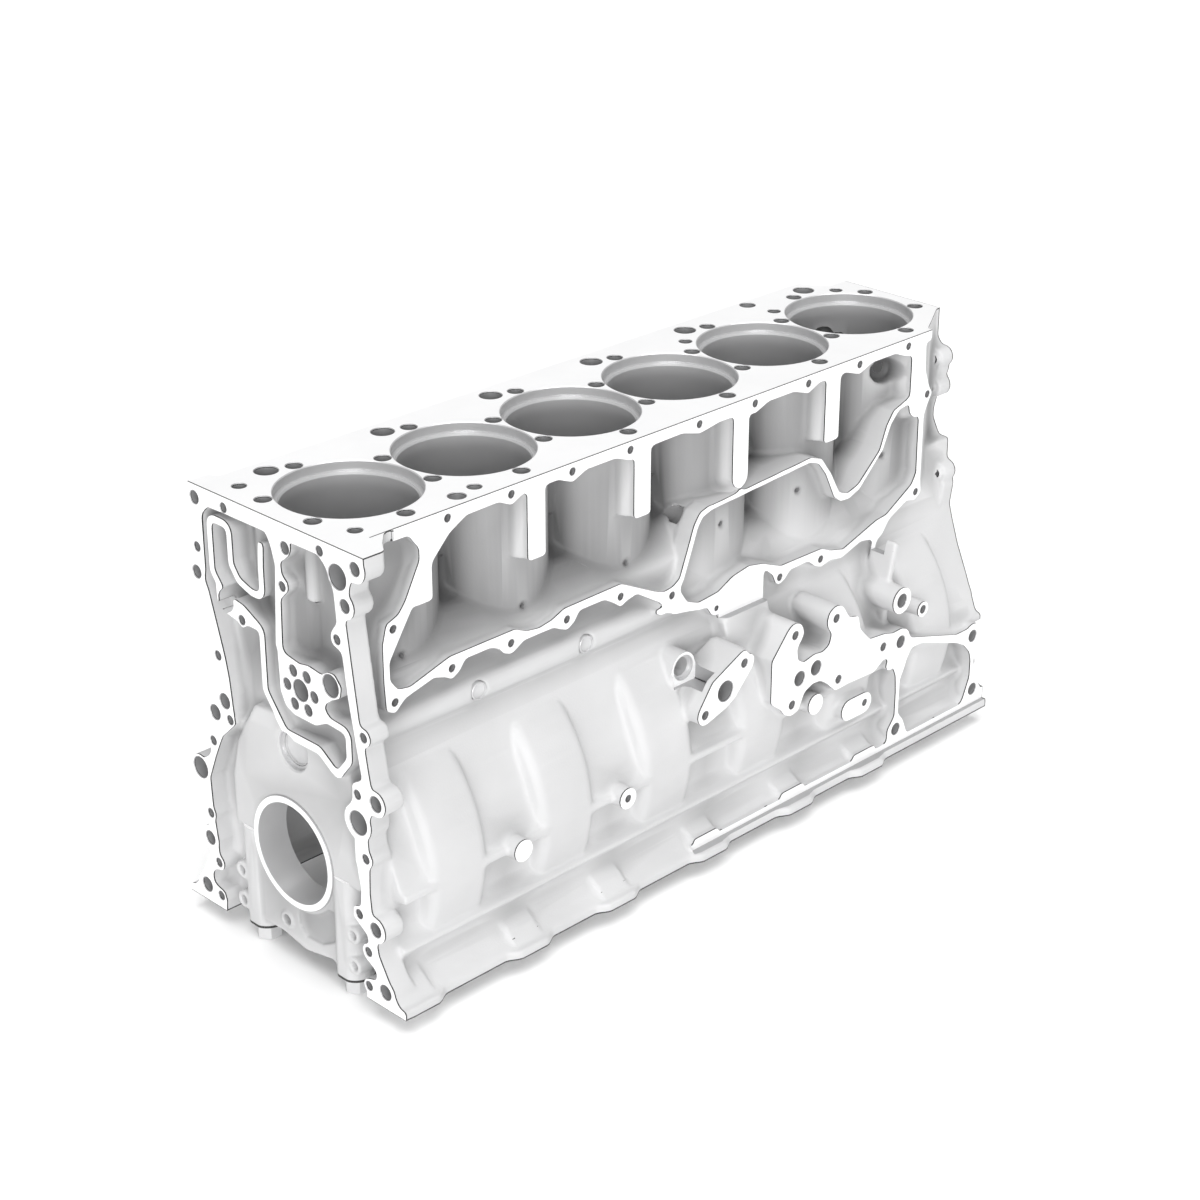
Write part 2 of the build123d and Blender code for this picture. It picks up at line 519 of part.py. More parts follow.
with BuildPart() as block:
    # Cylinder section, with the slanted corner behind the cover
    with BuildSketch(deck_plane):
        face_from([
            (recess_x, near_wall_y), (recess_x, far_wall_y), (1004, far_wall_y), (1020, 92),
            (rear_x, 92), (rear_x, -65), (994, near_wall_y),
        ])
    extrude(amount=-(deck_z - 160))
    # First barrel, which shows in the front recess
    with BuildSketch(deck_plane):
        with Locations((first_bore_x, 0)):
            Circle(barrel_r)
    extrude(amount=-(deck_z - 170))
    # Bellied far wall round each barrel
    with BuildSketch(deck_plane):
        with Locations(*[(x, 0) for x in bay_x]):
            Circle(far_barrel_r)
        with Locations((rear_x / 2, -far_barrel_r)):
            Rectangle(2 * rear_x, 2 * far_barrel_r, mode=Mode.SUBTRACT)
        with Locations((rear_x / 2, 0)):
            Rectangle(rear_x - 2 * recess_x, 3 * far_barrel_r, mode=Mode.INTERSECT)
    extrude(amount=-(deck_z - cylinder_bottom_z))
    # Columns of metal round the far-side coolant passages
    boss(deck_plane, passages, passage_r + passage_wall, passage_depth + passage_wall)
    # Deck slab that overhangs the walls
    with BuildSketch(deck_plane):
        face_from([
            (0, -152), (0, 132), (28, 132), (36, far_deck_y), (1000, far_deck_y), (1000, 120),
            (1020, 92), (rear_x, 92), (rear_x, -65), (962, cover_face_y), (92, cover_face_y),
            (76, -114), (58, -119), (38, -140), (30, -152),
        ])
    extrude(amount=-deck_slab)
    # Crankcase walls down to the oil pan rail
    with BuildSketch(section_plane.offset(recess_x)):
        face_from([(-y, z) for y, z in panel_profile] + [(y, z) for y, z in reversed(panel_profile)])
    extrude(amount=rear_x - recess_x)
    # Barrels that clear the crank throws
    add(throws.part)
    # Front flange with its coolant channel walls and pads
    with BuildSketch(front_plane):
        face_from(at_front(front_outline))
        for y, z, radius in front_bosses:
            with Locations((-y, z)):
                Circle(radius)
    extrude(amount=-flange_t)
    with BuildSketch(front_plane.offset(-recess_x)):
        face_from(at_front(front_wall))
    extrude(amount=-front_wall_t)
    with BuildSketch(front_plane):
        face_from(at_front(pump_pad))
        face_from(at_front(divider))
        face_from(at_front(big_port_pad))
    extrude(amount=-recess_x)
    for path in (arch_path, channel_path):
        with BuildSketch(front_plane):
            with BuildLine() as centre_line:
                FilletPolyline(*at_front(path), radius=channel_turn)
            trace(centre_line.edges(), line_width=channel_wall)
        extrude(amount=-recess_x)
    # Front bulkhead
    with BuildSketch(front_plane.offset(-bulkhead_face_x)):
        face_from(at_front(bulkhead_face))
    extrude(amount=-(recess_x - bulkhead_face_x))
    # Rear flange
    with BuildSketch(section_plane.offset(rear_x - rear_flange_t)):
        face_from([(-y, z) for y, z in rear_outline] + [(y, z) for y, z in reversed(rear_outline)])
        for y, z, radius in rear_bosses:
            with Locations((-y, z), (y, z)):
                Circle(radius)
    extrude(amount=rear_flange_t)
    # Cover rim
    with BuildSketch(cover_plane):
        face_from(cover_outline)
    extrude(amount=-cover_rim_t)
    # Gallery ridge under the rim
    with BuildSketch(section_plane.offset(recess_x)):
        with Locations((ridge_y, ridge_z)):
            Circle(ridge_r)
    extrude(amount=ridge_length)
    # Foot pads along the pan rail
    for side in (-1, 1):
        for x in foot_starts:
            front = max(x - foot_chamfer, 0)
            back = x + foot_length + foot_chamfer
            with BuildSketch(Plane.XY.offset(rail_z)):
                face_from([
                    (front, side * 150), (front, side * rail_edge_y), (x, side * foot_edge_y),
                    (x + foot_length, side * foot_edge_y), (back, side * rail_edge_y),
                    (back, side * 150),
                ])
            extrude(amount=foot_height)
            with BuildSketch(section_plane.offset(x)):
                face_from([(side * y, z) for y, z in foot_gusset])
            extrude(amount=foot_length)
    # Machined pads on the near side, standing off the crankcase wall
    with BuildSketch(side_plane):
        face_from(filter_pad)
        for x, z, radius in pad_lobes:
            with Locations((x, z)):
                Circle(radius)
    extrude(amount=-pad_depth)
    # Wall that swells out from under the cover rim to the pads
    with BuildSketch(section_plane.offset(swell_x0)):
        face_from(swell_profile)
    extrude(amount=swell_x1 - swell_x0)
    with BuildSketch(side_plane):
        face_from(two_bolt_pad)
        with Locations((561, 107)):
            Circle(17)
        with Locations((493, 61)):
            Circle(13)
    extrude(amount=-two_bolt_pad_depth)
    with BuildSketch(side_plane):
        face_from(rear_frame)
        with Locations((1021, -14)):
            Circle(18)
        face_from(frame_window, mode=Mode.SUBTRACT)
    extrude(amount=-rear_frame_depth)
    # Round bosses on the near side
    boss(side_plane, [(194, 0)], 13.8, small_boss_depth)
    boss(side_plane, [(362, 0)], 13.5, small_boss_depth)
    boss(side_plane, [(698, 1)], 14, small_boss_depth)
    with BuildSketch(side_plane):
        with Locations((780, -32)):
            SlotCenterToCenter(30, 29)
    extrude(amount=-small_boss_depth)
    boss(side_plane, [(863, 90)], 18, 70)
    with BuildSketch(side_plane.offset(-24)):
        with BuildLine() as rib_line:
            Polyline((862, 40), (863, 90), (880, 158))
        trace(rib_line.edges(), line_width=10)
    extrude(amount=-40)
    boss(side_plane, [(908, 63)], 11, 50)
    boss(side_plane.offset(-41), [(497, 109)], 20, 40)
    # Seats of the far-side core plugs
    boss(far_plug_plane, far_plugs, far_plug_boss_r, far_plug_y - gallery_y)
    # Hollow out, then set the main bearing saddles in and drill
    add(hollows.part, mode=Mode.SUBTRACT)
    add(saddles.part)
    add(holes.part, mode=Mode.SUBTRACT)

block.part.label = "cylinder_block"
export_step(block.part, "parts/cylinder_block.step")
print("volume", block.part.volume / 1e6, "l, solids", len(block.part.solids()))

# Bearing caps, front to rear
for k, x in enumerate(web_x):
    start = max(x - main_width / 2, ring_face_x)
    end = min(x + main_width / 2, rear_x)
    with BuildPart() as cap:
        with BuildSketch(section_plane.offset(max(start, bulkhead_face_x))):
            face_from(cap_profile)
        extrude(amount=end - max(start, bulkhead_face_x))
        with BuildSketch(Plane.XY.offset(cap_seat_z)):
            with Locations((x, cap_bolt_y), (x, -cap_bolt_y)):
                Circle(cap_column_r)
            with Locations(((start + end) / 2, 0)):
                Rectangle(end - start, 4 * saddle_r, mode=Mode.INTERSECT)
        extrude(amount=-cap_seat_z)
        if k == 0:
            with BuildSketch(section_plane.offset(ring_face_x)):
                Circle(main_ring_r)
                with Locations((0, saddle_r)):
                    Rectangle(4 * saddle_r, 2 * saddle_r, mode=Mode.SUBTRACT)
            extrude(amount=2 * main_ring_lip)
            boss(front_plane.offset(-ring_face_x), at_front(front_cap_holes), 11, 25)
            boss(front_plane.offset(-ring_face_x), at_front([cap_jet]), 11, 15)
        with BuildSketch(section_plane.offset(ring_face_x)):
            Circle(main_bore_r)
        extrude(amount=rear_x, mode=Mode.SUBTRACT)
        with BuildSketch(Plane.XY):
            with Locations((x, cap_bolt_y), (x, -cap_bolt_y)):
                Circle(bolt_r + bolt_clearance)
        extrude(amount=cap_seat_z, mode=Mode.SUBTRACT)
        if k == 0:
            with BuildSketch(front_plane.offset(-ring_face_x)):
                with Locations(*at_front(front_cap_holes)):
                    Circle(tapped_m10)
                with Locations(*at_front([cap_jet])):
                    Circle(6.5)
            extrude(amount=-20, mode=Mode.SUBTRACT)
            with BuildSketch(front_plane.offset(-bulkhead_face_x)):
                face_from(at_front(cap_crescent))
                Circle(main_ring_r + 5, mode=Mode.SUBTRACT)
            extrude(amount=-7, mode=Mode.SUBTRACT)
    cap.part.label = f"main_bearing_cap_{k + 1}"
    export_step(cap.part, f"parts/main_bearing_cap_{k + 1}.step")

# Cap bolts, two to a cap
for k, x in enumerate(web_x):
    for side, name in ((-1, "near"), (1, "far")):
        with BuildPart() as bolt:
            with BuildSketch(Plane.XY.offset(cap_seat_z)):
                with Locations((x, side * cap_bolt_y)):
                    Circle(bolt_r)
            extrude(amount=bolt_thread_z - cap_seat_z)
            with BuildSketch(Plane.XY.offset(cap_seat_z)):
                with Locations((x, side * cap_bolt_y)):
                    Circle(min(bolt_flange_r, rear_x - x))
            extrude(amount=-bolt_flange_t)
            with BuildSketch(Plane.XY.offset(cap_seat_z - bolt_flange_t)):
                with Locations((x, side * cap_bolt_y)):
                    RegularPolygon(bolt_hex_flats / 2, 6, major_radius=False)
            extrude(amount=-bolt_hex_h)
        bolt.part.label = f"cap_bolt_{k + 1}_{name}"
        export_step(bolt.part, f"parts/cap_bolt_{k + 1}_{name}.step")

# Core plugs: pressed cups, open side out
for number, (x, z) in enumerate(side_plugs, start=1):
    with BuildPart() as plug:
        with BuildSketch(ridge_plane.offset(-plug_recess)):
            with Locations((x, z)):
                Circle(core_plug_r)
        extrude(amount=plug_recess - core_plug_depth)
        with BuildSketch(ridge_plane.offset(-plug_recess)):
            with Locations((x, z)):
                Circle(core_plug_r - core_plug_wall)
        extrude(amount=-core_plug_dish, mode=Mode.SUBTRACT)
    plug.part.label = f"side_core_plug_{number}"
    export_step(plug.part, f"parts/side_core_plug_{number}.step")

for number, place in enumerate(far_plugs, start=1):
    with BuildPart() as plug:
        with BuildSketch(far_plug_plane.offset(-plug_recess)):
            with Locations(place):
                Circle(far_plug_r)
        extrude(amount=-far_plug_t)
        with BuildSketch(far_plug_plane.offset(-plug_recess)):
            with Locations(place):
                Circle(far_plug_r - far_plug_wall)
        extrude(amount=far_plug_wall - far_plug_t, mode=Mode.SUBTRACT)
    plug.part.label = f"far_core_plug_{number}"
    export_step(plug.part, f"parts/far_core_plug_{number}.step")

with BuildPart() as front_core_plug:
    with BuildSketch(front_plane.offset(-front_plug_x0)):
        with Locations(*at_front([front_plug])):
            Circle(front_plug_r)
    extrude(amount=-front_plug_t)
    with BuildSketch(front_plane.offset(-front_plug_x0)):
        with Locations(*at_front([front_plug])):
            Circle(front_plug_r - core_plug_wall)
    extrude(amount=-core_plug_dish, mode=Mode.SUBTRACT)
front_core_plug.part.label = "front_core_plug"
export_step(front_core_plug.part, "parts/front_core_plug.step")
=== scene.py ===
"""Looks of a bare in-line engine block: sand-cast iron body, machined faces, bearing caps and bolts."""

import logging
import math
from dataclasses import dataclass, field
from enum import Enum

import bmesh
import bpy
import numpy as np
import openvdb
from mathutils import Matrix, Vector


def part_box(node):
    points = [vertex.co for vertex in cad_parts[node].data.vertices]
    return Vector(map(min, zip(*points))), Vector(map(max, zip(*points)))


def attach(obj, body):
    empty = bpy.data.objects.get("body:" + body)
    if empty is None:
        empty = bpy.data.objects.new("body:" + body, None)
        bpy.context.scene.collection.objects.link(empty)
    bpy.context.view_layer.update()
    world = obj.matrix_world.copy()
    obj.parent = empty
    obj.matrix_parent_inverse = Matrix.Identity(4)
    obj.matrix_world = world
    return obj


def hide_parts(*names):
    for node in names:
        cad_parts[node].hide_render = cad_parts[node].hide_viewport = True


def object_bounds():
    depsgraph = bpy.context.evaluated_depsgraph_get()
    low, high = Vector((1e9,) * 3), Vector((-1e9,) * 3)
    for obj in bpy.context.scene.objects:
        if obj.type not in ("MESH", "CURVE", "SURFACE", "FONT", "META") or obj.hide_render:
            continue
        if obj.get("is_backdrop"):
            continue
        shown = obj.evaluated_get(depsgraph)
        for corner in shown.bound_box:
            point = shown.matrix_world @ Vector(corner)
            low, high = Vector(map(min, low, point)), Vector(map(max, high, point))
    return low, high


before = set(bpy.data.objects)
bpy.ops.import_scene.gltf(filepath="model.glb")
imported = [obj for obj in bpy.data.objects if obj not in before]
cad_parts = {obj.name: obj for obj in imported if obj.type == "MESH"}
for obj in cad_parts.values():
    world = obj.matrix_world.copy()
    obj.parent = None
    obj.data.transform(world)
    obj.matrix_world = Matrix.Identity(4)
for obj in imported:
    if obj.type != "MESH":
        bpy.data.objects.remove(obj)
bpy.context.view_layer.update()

log = logging.getLogger("engine_block")

MM = 0.001
FLAT_MM = 0.02  # how near a milled plane a CAD point counts as on it
ROUND_SHARE = 0.04  # how far from round the mouth of a hole may be, as a share of its radius
FEWEST_SIDES = 8  # sides that the mouth of a hole has at least
SHALLOWEST_MM = 1.0  # depth under which an opening isn't a hole

class Axis(Enum):
    """The three directions, by their place in a coordinate."""

    X = 0
    Y = 1
    Z = 2


class Surface(Enum):
    """How a face of an iron casting was made, in the order of the material slots."""

    CAST = 0
    MILLED = 1
    BORED = 2
    DRILLED = 3


@dataclass(frozen=True)
class MilledPlane:
    """A flat that is milled off a casting.

    Attributes:
        axis: Axis that the plane is square to.
        sign: +1 if the face looks along the axis, -1 if it looks back.
        at: Place of the plane on its axis, in mm.
        boxes: Regions (low corner, high corner), in mm, that the cutter sweeps. The plane's own side of
            each box is replaced by the plane.
    """

    axis: Axis
    sign: int
    at: float
    boxes: tuple


@dataclass(frozen=True)
class DrilledHole:
    """A round hole found on a milled plane, in mm."""

    centre: tuple
    plane: MilledPlane
    radius: float
    depth: float


@dataclass(frozen=True)
class TurnedBore:
    """A bore turned to size after casting, in mm.

    Attributes:
        axis: Direction of its axis.
        centre: A point on the axis.
        steps: (radius, place along the axis) pairs, from the end where the tool comes in.
        walls: (start, end, radius) stretches along the axis where the casting had metal in the way.
        segments: Sides of the turned faces.
    """

    axis: Axis
    centre: tuple
    steps: tuple
    walls: tuple
    segments: int = 128


@dataclass
class CastingField:
    """Signed distance to a casting's surface, sampled on a grid.

    Attributes:
        voxel: Grid spacing, in mm.
        band: Distance kept round the surface, in voxels.
        margin: Empty voxels kept round the casting.
        values: The distances, in mm, under 0 inside the metal.
        first: Index of the grid's low corner.
    """

    voxel: float = 2.5
    band: int = 5
    margin: int = 9
    values: np.ndarray = field(init=False, repr=False)
    first: np.ndarray = field(init=False, repr=False)

    def sample(self, points: np.ndarray, triangles: np.ndarray) -> None:
        """Fills the grid from a closed mesh.

        Args:
            points: Vertices, in mm, one row each.
            triangles: Vertex indices, three to a row.
        """
        grid = openvdb.FloatGrid.createLevelSetFromPolygons(
            points.astype(np.float32), triangles=triangles.astype(np.uint32),
            transform=openvdb.createLinearTransform(voxelSize=self.voxel), halfWidth=float(self.band),
        )
        low = np.floor(points.min(0) / self.voxel).astype(int) - self.margin
        high = np.ceil(points.max(0) / self.voxel).astype(int) + self.margin
        self.first = low
        self.values = np.full(tuple(high - low + 1), self.band * self.voxel, np.float32)
        grid.copyToArray(self.values, ijk=tuple(int(v) for v in low))

    def fill_cylinder(self, axis: Axis, centre: tuple, radius: float, start: float, end: float) -> None:
        """Closes a round hole with metal.

        Args:
            axis: Direction of the hole.
            centre: A point on its axis, in mm.
            radius: Radius of the filling.
            start: Lower end of the filling along the axis.
            end: Upper end.
        """
        along = axis.value
        low = np.array(centre, float) - radius - 4 * self.voxel
        high = np.array(centre, float) + radius + 4 * self.voxel
        low[along], high[along] = start - 2 * self.voxel, end + 2 * self.voxel
        window, grids = self.window(low, high)
        radial = np.sqrt(sum((grids[i] - centre[i]) ** 2 for i in range(3) if i != along)) - radius
        ends = np.maximum(start - grids[along], grids[along] - end)
        self.values[window] = np.minimum(self.values[window], np.maximum(radial, ends))

    def window(self, low: np.ndarray, high: np.ndarray) -> tuple:
        """Picks the part of the grid between two corners.

        Args:
            low: Low corner, in mm.
            high: High corner.

        Returns:
            Slices of the grid, and the X, Y and Z of the voxels in them.
        """
        slices, axes = [], []
        for i in range(3):
            start = max(0, int(math.floor(low[i] / self.voxel)) - int(self.first[i]))
            stop = min(self.values.shape[i], int(math.ceil(high[i] / self.voxel)) - int(self.first[i]) + 1)
            slices.append(slice(start, stop))
            axes.append((np.arange(start, stop) + self.first[i]) * self.voxel)
        return tuple(slices), np.meshgrid(*axes, indexing="ij")

    def add_stock(self, plane: MilledPlane, stock: float, reach: float) -> None:
        """Carries the section inside a milled plane outwards, as the casting had it before milling.

        Args:
            plane: The plane.
            stock: Metal left past the plane, in mm.
            reach: Depth of the section that is carried out, in mm.
        """
        axis, sign = plane.axis.value, plane.sign
        for low, high in plane.boxes:
            low, high = np.array(low, float), np.array(high, float)
            inner, outer = plane.at - sign * reach, plane.at + sign * (stock + 3 * self.voxel)
            low[axis], high[axis] = min(inner, outer), max(inner, outer)
            window, grids = self.window(low, high)
            block = np.moveaxis(self.values[window], axis, 0)
            places = np.moveaxis(grids[axis], axis, 0)[:, 0, 0]
            if sign < 0:
                block, places = block[::-1], places[::-1]
            past = (places - plane.at) * sign
            skin = block[np.searchsorted(past, 0.0) - 1]
            faces = skin < self.voxel
            for _ in range(3):
                faces = grown(faces)
            section = block[0]
            lid = (past - stock)[:, None, None]
            carried = np.maximum(section[None], lid)
            block[:] = np.where(faces[None], np.minimum(block, carried), block)

    def blend(self, edge: float, corner: float) -> None:
        """Rounds the outer edges a little and the inner corners more, as a foundry pattern is.

        Args:
            edge: Spread of the smoothing that rounds everything, in mm.
            corner: Spread of the smoothing that only adds metal, in mm.
        """
        softened = blurred(self.values, edge / self.voxel)
        filled = blurred(self.values, corner / self.voxel) + 0.06 * corner
        self.values = np.minimum(softened, filled)

    def polygons(self) -> tuple:
        """Draws the casting's skin.

        Returns:
            Its points, in mm, and its triangles.
        """
        grid = openvdb.FloatGrid(self.band * self.voxel)
        grid.transform = openvdb.createLinearTransform(voxelSize=self.voxel)
        grid.copyFromArray(self.values, ijk=tuple(int(v) for v in self.first), tolerance=0.0)
        points, triangles, quads = grid.convertToPolygons(isovalue=0.0, adaptivity=0.0)
        split = np.concatenate([quads[:, [0, 1, 2]], quads[:, [0, 2, 3]]])
        return points, np.concatenate([triangles, split]) if len(triangles) else split

    def at(self, points: np.ndarray) -> np.ndarray:
        """Measures how far points lie from the casting's skin.

        Args:
            points: Places, in mm.

        Returns:
            A distance for each, in mm, under 0 inside the metal.
        """
        place = points / self.voxel - self.first
        cell = np.clip(np.floor(place).astype(int), 0, np.array(self.values.shape) - 2)
        part = place - cell
        total = np.zeros(len(points))
        for corner in range(8):
            step = np.array([corner & 1, corner >> 1 & 1, corner >> 2 & 1])
            weight = np.prod(np.where(step, part, 1 - part), axis=1)
            total += weight * self.values[tuple((cell + step).T)]
        return total

    def painted_shade_openness(self, points: np.ndarray, spread: float) -> np.ndarray:
        """How open the casting stands round points, which sets its painted light and shade: over 0 on a
        ridge, under 0 in a recess, in mm.

        Args:
            points: Places, in mm.
            spread: Distance that counts as near, in mm.

        Returns:
            A value for each point.
        """
        coarse = CastingField(2 * self.voxel)
        coarse.first = self.first / 2
        coarse.values = blurred(self.values[::2, ::2, ::2], spread / coarse.voxel)
        return coarse.at(points)

    def face_off(self, radius: float, front: float) -> None:
        """Takes everything in front of a plane off round the X axis, where a turned lip goes on later.

        Args:
            radius: Reach of the cut from the axis, in mm.
            front: X of the plane.
        """
        low, high = np.array((front - 20, -radius, -radius)), np.array((front, radius, radius))
        window, (x, y, z) = self.window(low, high)
        gone = np.minimum(front - x, radius - np.hypot(y, z))
        self.values[window] = np.maximum(self.values[window], gone)

    def add_rib(self, path: tuple, width: float, start: float, end: float) -> None:
        """Adds a rib that runs along a path in the XZ plane.

        Args:
            path: (x, z) points of its middle line, in mm.
            width: Its width.
            start: Y of its outer edge.
            end: Y of its root.
        """
        line = np.array(path, float)
        low = (line[:, 0].min() - width, start, line[:, 1].min() - width)
        high = (line[:, 0].max() + width, end, line[:, 1].max() + width)
        window, grids = self.window(np.array(low), np.array(high))
        nearest = np.full(grids[0].shape, 1e9)
        for a, b in zip(line[:-1], line[1:]):
            run = b - a
            part = ((grids[0] - a[0]) * run[0] + (grids[2] - a[1]) * run[1]) / (run @ run)
            part = np.clip(part, 0, 1)
            away = np.hypot(grids[0] - a[0] - part * run[0], grids[2] - a[1] - part * run[1])
            nearest = np.minimum(nearest, away)
        solid = np.maximum(nearest - width / 2, np.maximum(start - grids[1], grids[1] - end))
        self.values[window] = np.minimum(self.values[window], solid)

    def slope(self, points: np.ndarray) -> np.ndarray:
        """Works out which way the casting's skin looks.

        Args:
            points: Places, in mm.

        Returns:
            A unit normal for each.
        """
        out = np.empty((len(points), 3))
        for axis in range(3):
            shift = np.zeros(3)
            shift[axis] = 0.6 * self.voxel
            out[:, axis] = self.at(points + shift) - self.at(points - shift)
        return out / np.maximum(np.linalg.norm(out, axis=1, keepdims=True), 1e-9)


def grown(mask: np.ndarray) -> np.ndarray:
    """Widens a 2D mask by one cell.

    Args:
        mask: True where it covers.

    Returns:
        The wider mask.
    """
    wide = mask.copy()
    wide[1:] |= mask[:-1]
    wide[:-1] |= mask[1:]
    wide[:, 1:] |= mask[:, :-1]
    wide[:, :-1] |= mask[:, 1:]
    return wide


def blurred(values: np.ndarray, sigma: float) -> np.ndarray:
    """Averages a 3D array with a bell curve.

    Args:
        values: The array.
        sigma: Spread of the curve, in cells.

    Returns:
        The softened array.
    """
    reach = max(1, int(math.ceil(2.6 * sigma)))
    weights = np.exp(-0.5 * (np.arange(-reach, reach + 1) / sigma) ** 2)
    weights = (weights / weights.sum()).astype(np.float32)
    out = values
    for axis in range(3):
        padded = np.pad(out, [(reach, reach) if i == axis else (0, 0) for i in range(3)], mode="edge")
        total = np.zeros_like(out)
        for k, weight in enumerate(weights):
            cut = [slice(None)] * 3
            cut[axis] = slice(k, k + out.shape[axis])
            total += weight * padded[tuple(cut)]
        out = total
    return out


def node_arrays(node: bpy.types.Object) -> tuple:
    """Reads a CAD node's mesh.

    Args:
        node: The node.

    Returns:
        Its welded points, in mm, and its triangles.
    """
    mesh = node.data
    mesh.calc_loop_triangles()
    points = np.empty(len(mesh.vertices) * 3)
    mesh.vertices.foreach_get("co", points)
    points = points.reshape(-1, 3) / MM
    triangles = np.empty(len(mesh.loop_triangles) * 3, np.int32)
    mesh.loop_triangles.foreach_get("vertices", triangles)
    _, keep, place = np.unique(np.round(points, 3), axis=0, return_index=True, return_inverse=True)
    triangles = place.reshape(-1)[triangles].reshape(-1, 3)
    good = (triangles[:, 0] != triangles[:, 1]) & (triangles[:, 1] != triangles[:, 2])
    good &= triangles[:, 0] != triangles[:, 2]
    return points[keep], triangles[good]


def find_holes(points: np.ndarray, triangles: np.ndarray, plane: MilledPlane, largest: float) -> list:
    """Round holes that open on a milled plane.

    Args:
        points: Vertices of the CAD mesh, in mm.
        triangles: Its triangles.
        plane: The plane.
        largest: Radius, in mm, over which a round opening isn't drilled.

    Returns:
        One DrilledHole for each.
    """
    axis, sign = plane.axis.value, plane.sign
    on_plane = np.abs(points[:, axis] - plane.at) < FLAT_MM
    flat = on_plane[triangles].all(1)
    edges: dict = {}
    for tri in triangles[flat]:
        for a, b in ((tri[0], tri[1]), (tri[1], tri[2]), (tri[2], tri[0])):
            if (b, a) in edges:
                del edges[(b, a)]
            else:
                edges[(a, b)] = True
    follow: dict = {}
    for a, b in edges:
        follow.setdefault(a, []).append(b)
    around: dict = {}
    for tri in triangles[~flat & on_plane[triangles].any(1)]:
        for v in tri:
            around.setdefault(int(v), []).append(tri)
    across = [i for i in range(3) if i != axis]
    holes, used = [], set()
    for start in follow:
        if start in used:
            continue
        loop, at = [], start
        while at not in used and at in follow:
            used.add(at)
            loop.append(at)
            at = follow[at][0]
        if at != start or len(loop) < FEWEST_SIDES:
            continue
        ring = points[loop]
        if np.cross(ring, np.roll(ring, -1, axis=0)).sum(0)[axis] * sign > 0:
            continue
        rim = ring[:, across]
        centre = (rim.min(0) + rim.max(0)) / 2
        reach = np.linalg.norm(rim - centre, axis=1)
        if reach.max() > largest or reach.max() - reach.min() > ROUND_SHARE * reach.max():
            continue
        walls = np.array([tri for v in loop for tri in around.get(int(v), [])])
        if not len(walls):
            continue
        beside = points[np.unique(walls)]
        depths = (plane.at - beside[:, axis]) * sign
        away = np.linalg.norm(beside[:, across] - centre, axis=1)
        deep = depths > SHALLOWEST_MM
        inside = depths[(np.abs(away - reach.max()) < 0.5) & deep]
        if not len(inside) or away[deep].max() > reach.max() * 1.3 + 1:
            continue
        place = np.zeros(3)
        place[across] = centre
        place[axis] = plane.at
        holes.append(DrilledHole(tuple(place), plane, float(reach.max()), float(inside.max())))
    return holes


def mesh_object(name: str, points: np.ndarray, faces: list) -> bpy.types.Object:
    """Makes a mesh object.

    Args:
        name: Its name.
        points: Its points, in mm.
        faces: Its faces, as point indices.

    Returns:
        The object, linked into the scene.
    """
    mesh = bpy.data.meshes.new(name)
    mesh.from_pydata((points * MM).tolist(), [], [list(map(int, f)) for f in faces])
    mesh.update()
    obj = bpy.data.objects.new(name, mesh)
    bpy.context.scene.collection.objects.link(obj)
    return obj


def lathe(profile: list, segments: int) -> tuple:
    """A closed turned solid about +Z.

    Args:
        profile: (radius, height) pairs from top to bottom. The ends are closed by discs.
        segments: Sides round the axis.

    Returns:
        Points and faces.
    """
    points, faces = [], []
    for radius, height in profile:
        for k in range(segments):
            turn = 2 * math.pi * k / segments
            points.append((radius * math.cos(turn), radius * math.sin(turn), height))
    for ring in range(len(profile) - 1):
        for k in range(segments):
            a, b = ring * segments + k, ring * segments + (k + 1) % segments
            faces.append((a, a + segments, b + segments, b))
    faces.append(tuple(range(segments)))
    last = (len(profile) - 1) * segments
    faces.append(tuple(reversed(range(last, last + segments))))
    return np.array(points, float), faces


def joined(solids: list) -> tuple:
    """Puts several solids into one.

    Args:
        solids: (points, faces) of each.

    Returns:
        Points and faces of them all.
    """
    points, faces, start = [], [], 0
    for solid_points, solid_faces in solids:
        points.append(solid_points)
        faces.extend(tuple(v + start for v in f) for f in solid_faces)
        start += len(solid_points)
    return np.concatenate(points), faces


def turned(points: np.ndarray, faces: list, axis: Axis) -> tuple:
    """Lays a solid that was made about +Z along another axis, with its outside kept outside.

    Args:
        points: Its points, in mm.
        faces: Its faces.
        axis: The direction that +Z goes to.

    Returns:
        Points and faces.
    """
    if axis is Axis.X:
        return points[:, [2, 0, 1]], faces
    if axis is Axis.Y:
        return points[:, [1, 2, 0]], faces
    return points, faces


def half_ring(inner: float, outer: float, start: float, end: float, upper: bool) -> tuple:
    """Half of a flat ring about the X axis, with a little over at its ends and its front edge broken.

    Args:
        inner: Its inner radius, in mm.
        outer: Its outer radius.
        start: X of its front.
        end: X of its back.
        upper: Whether it stands above Z = 0 or hangs below.

    Returns:
        Points and faces.
    """
    segments, bevel, over = 64, 0.8, 0.03
    section = ((inner, start), (outer - bevel, start), (outer, start + bevel), (outer, end), (inner, end))
    sides = len(section)
    points, faces = [], []
    for k in range(segments + 1):
        turn = ((math.pi + 2 * over) * k / segments - over) * (1 if upper else -1)
        for radius, x in section:
            points.append((x, radius * math.cos(turn), radius * math.sin(turn)))
    for k in range(segments):
        for i in range(sides):
            a, b = k * sides + i, k * sides + (i + 1) % sides
            face = (a, b, b + sides, a + sides)
            faces.append(face[::-1] if upper else face)
    first, last = tuple(range(sides)), tuple(range(segments * sides, (segments + 1) * sides))
    faces += [first, last[::-1]] if upper else [first[::-1], last]
    return np.array(points, float), faces


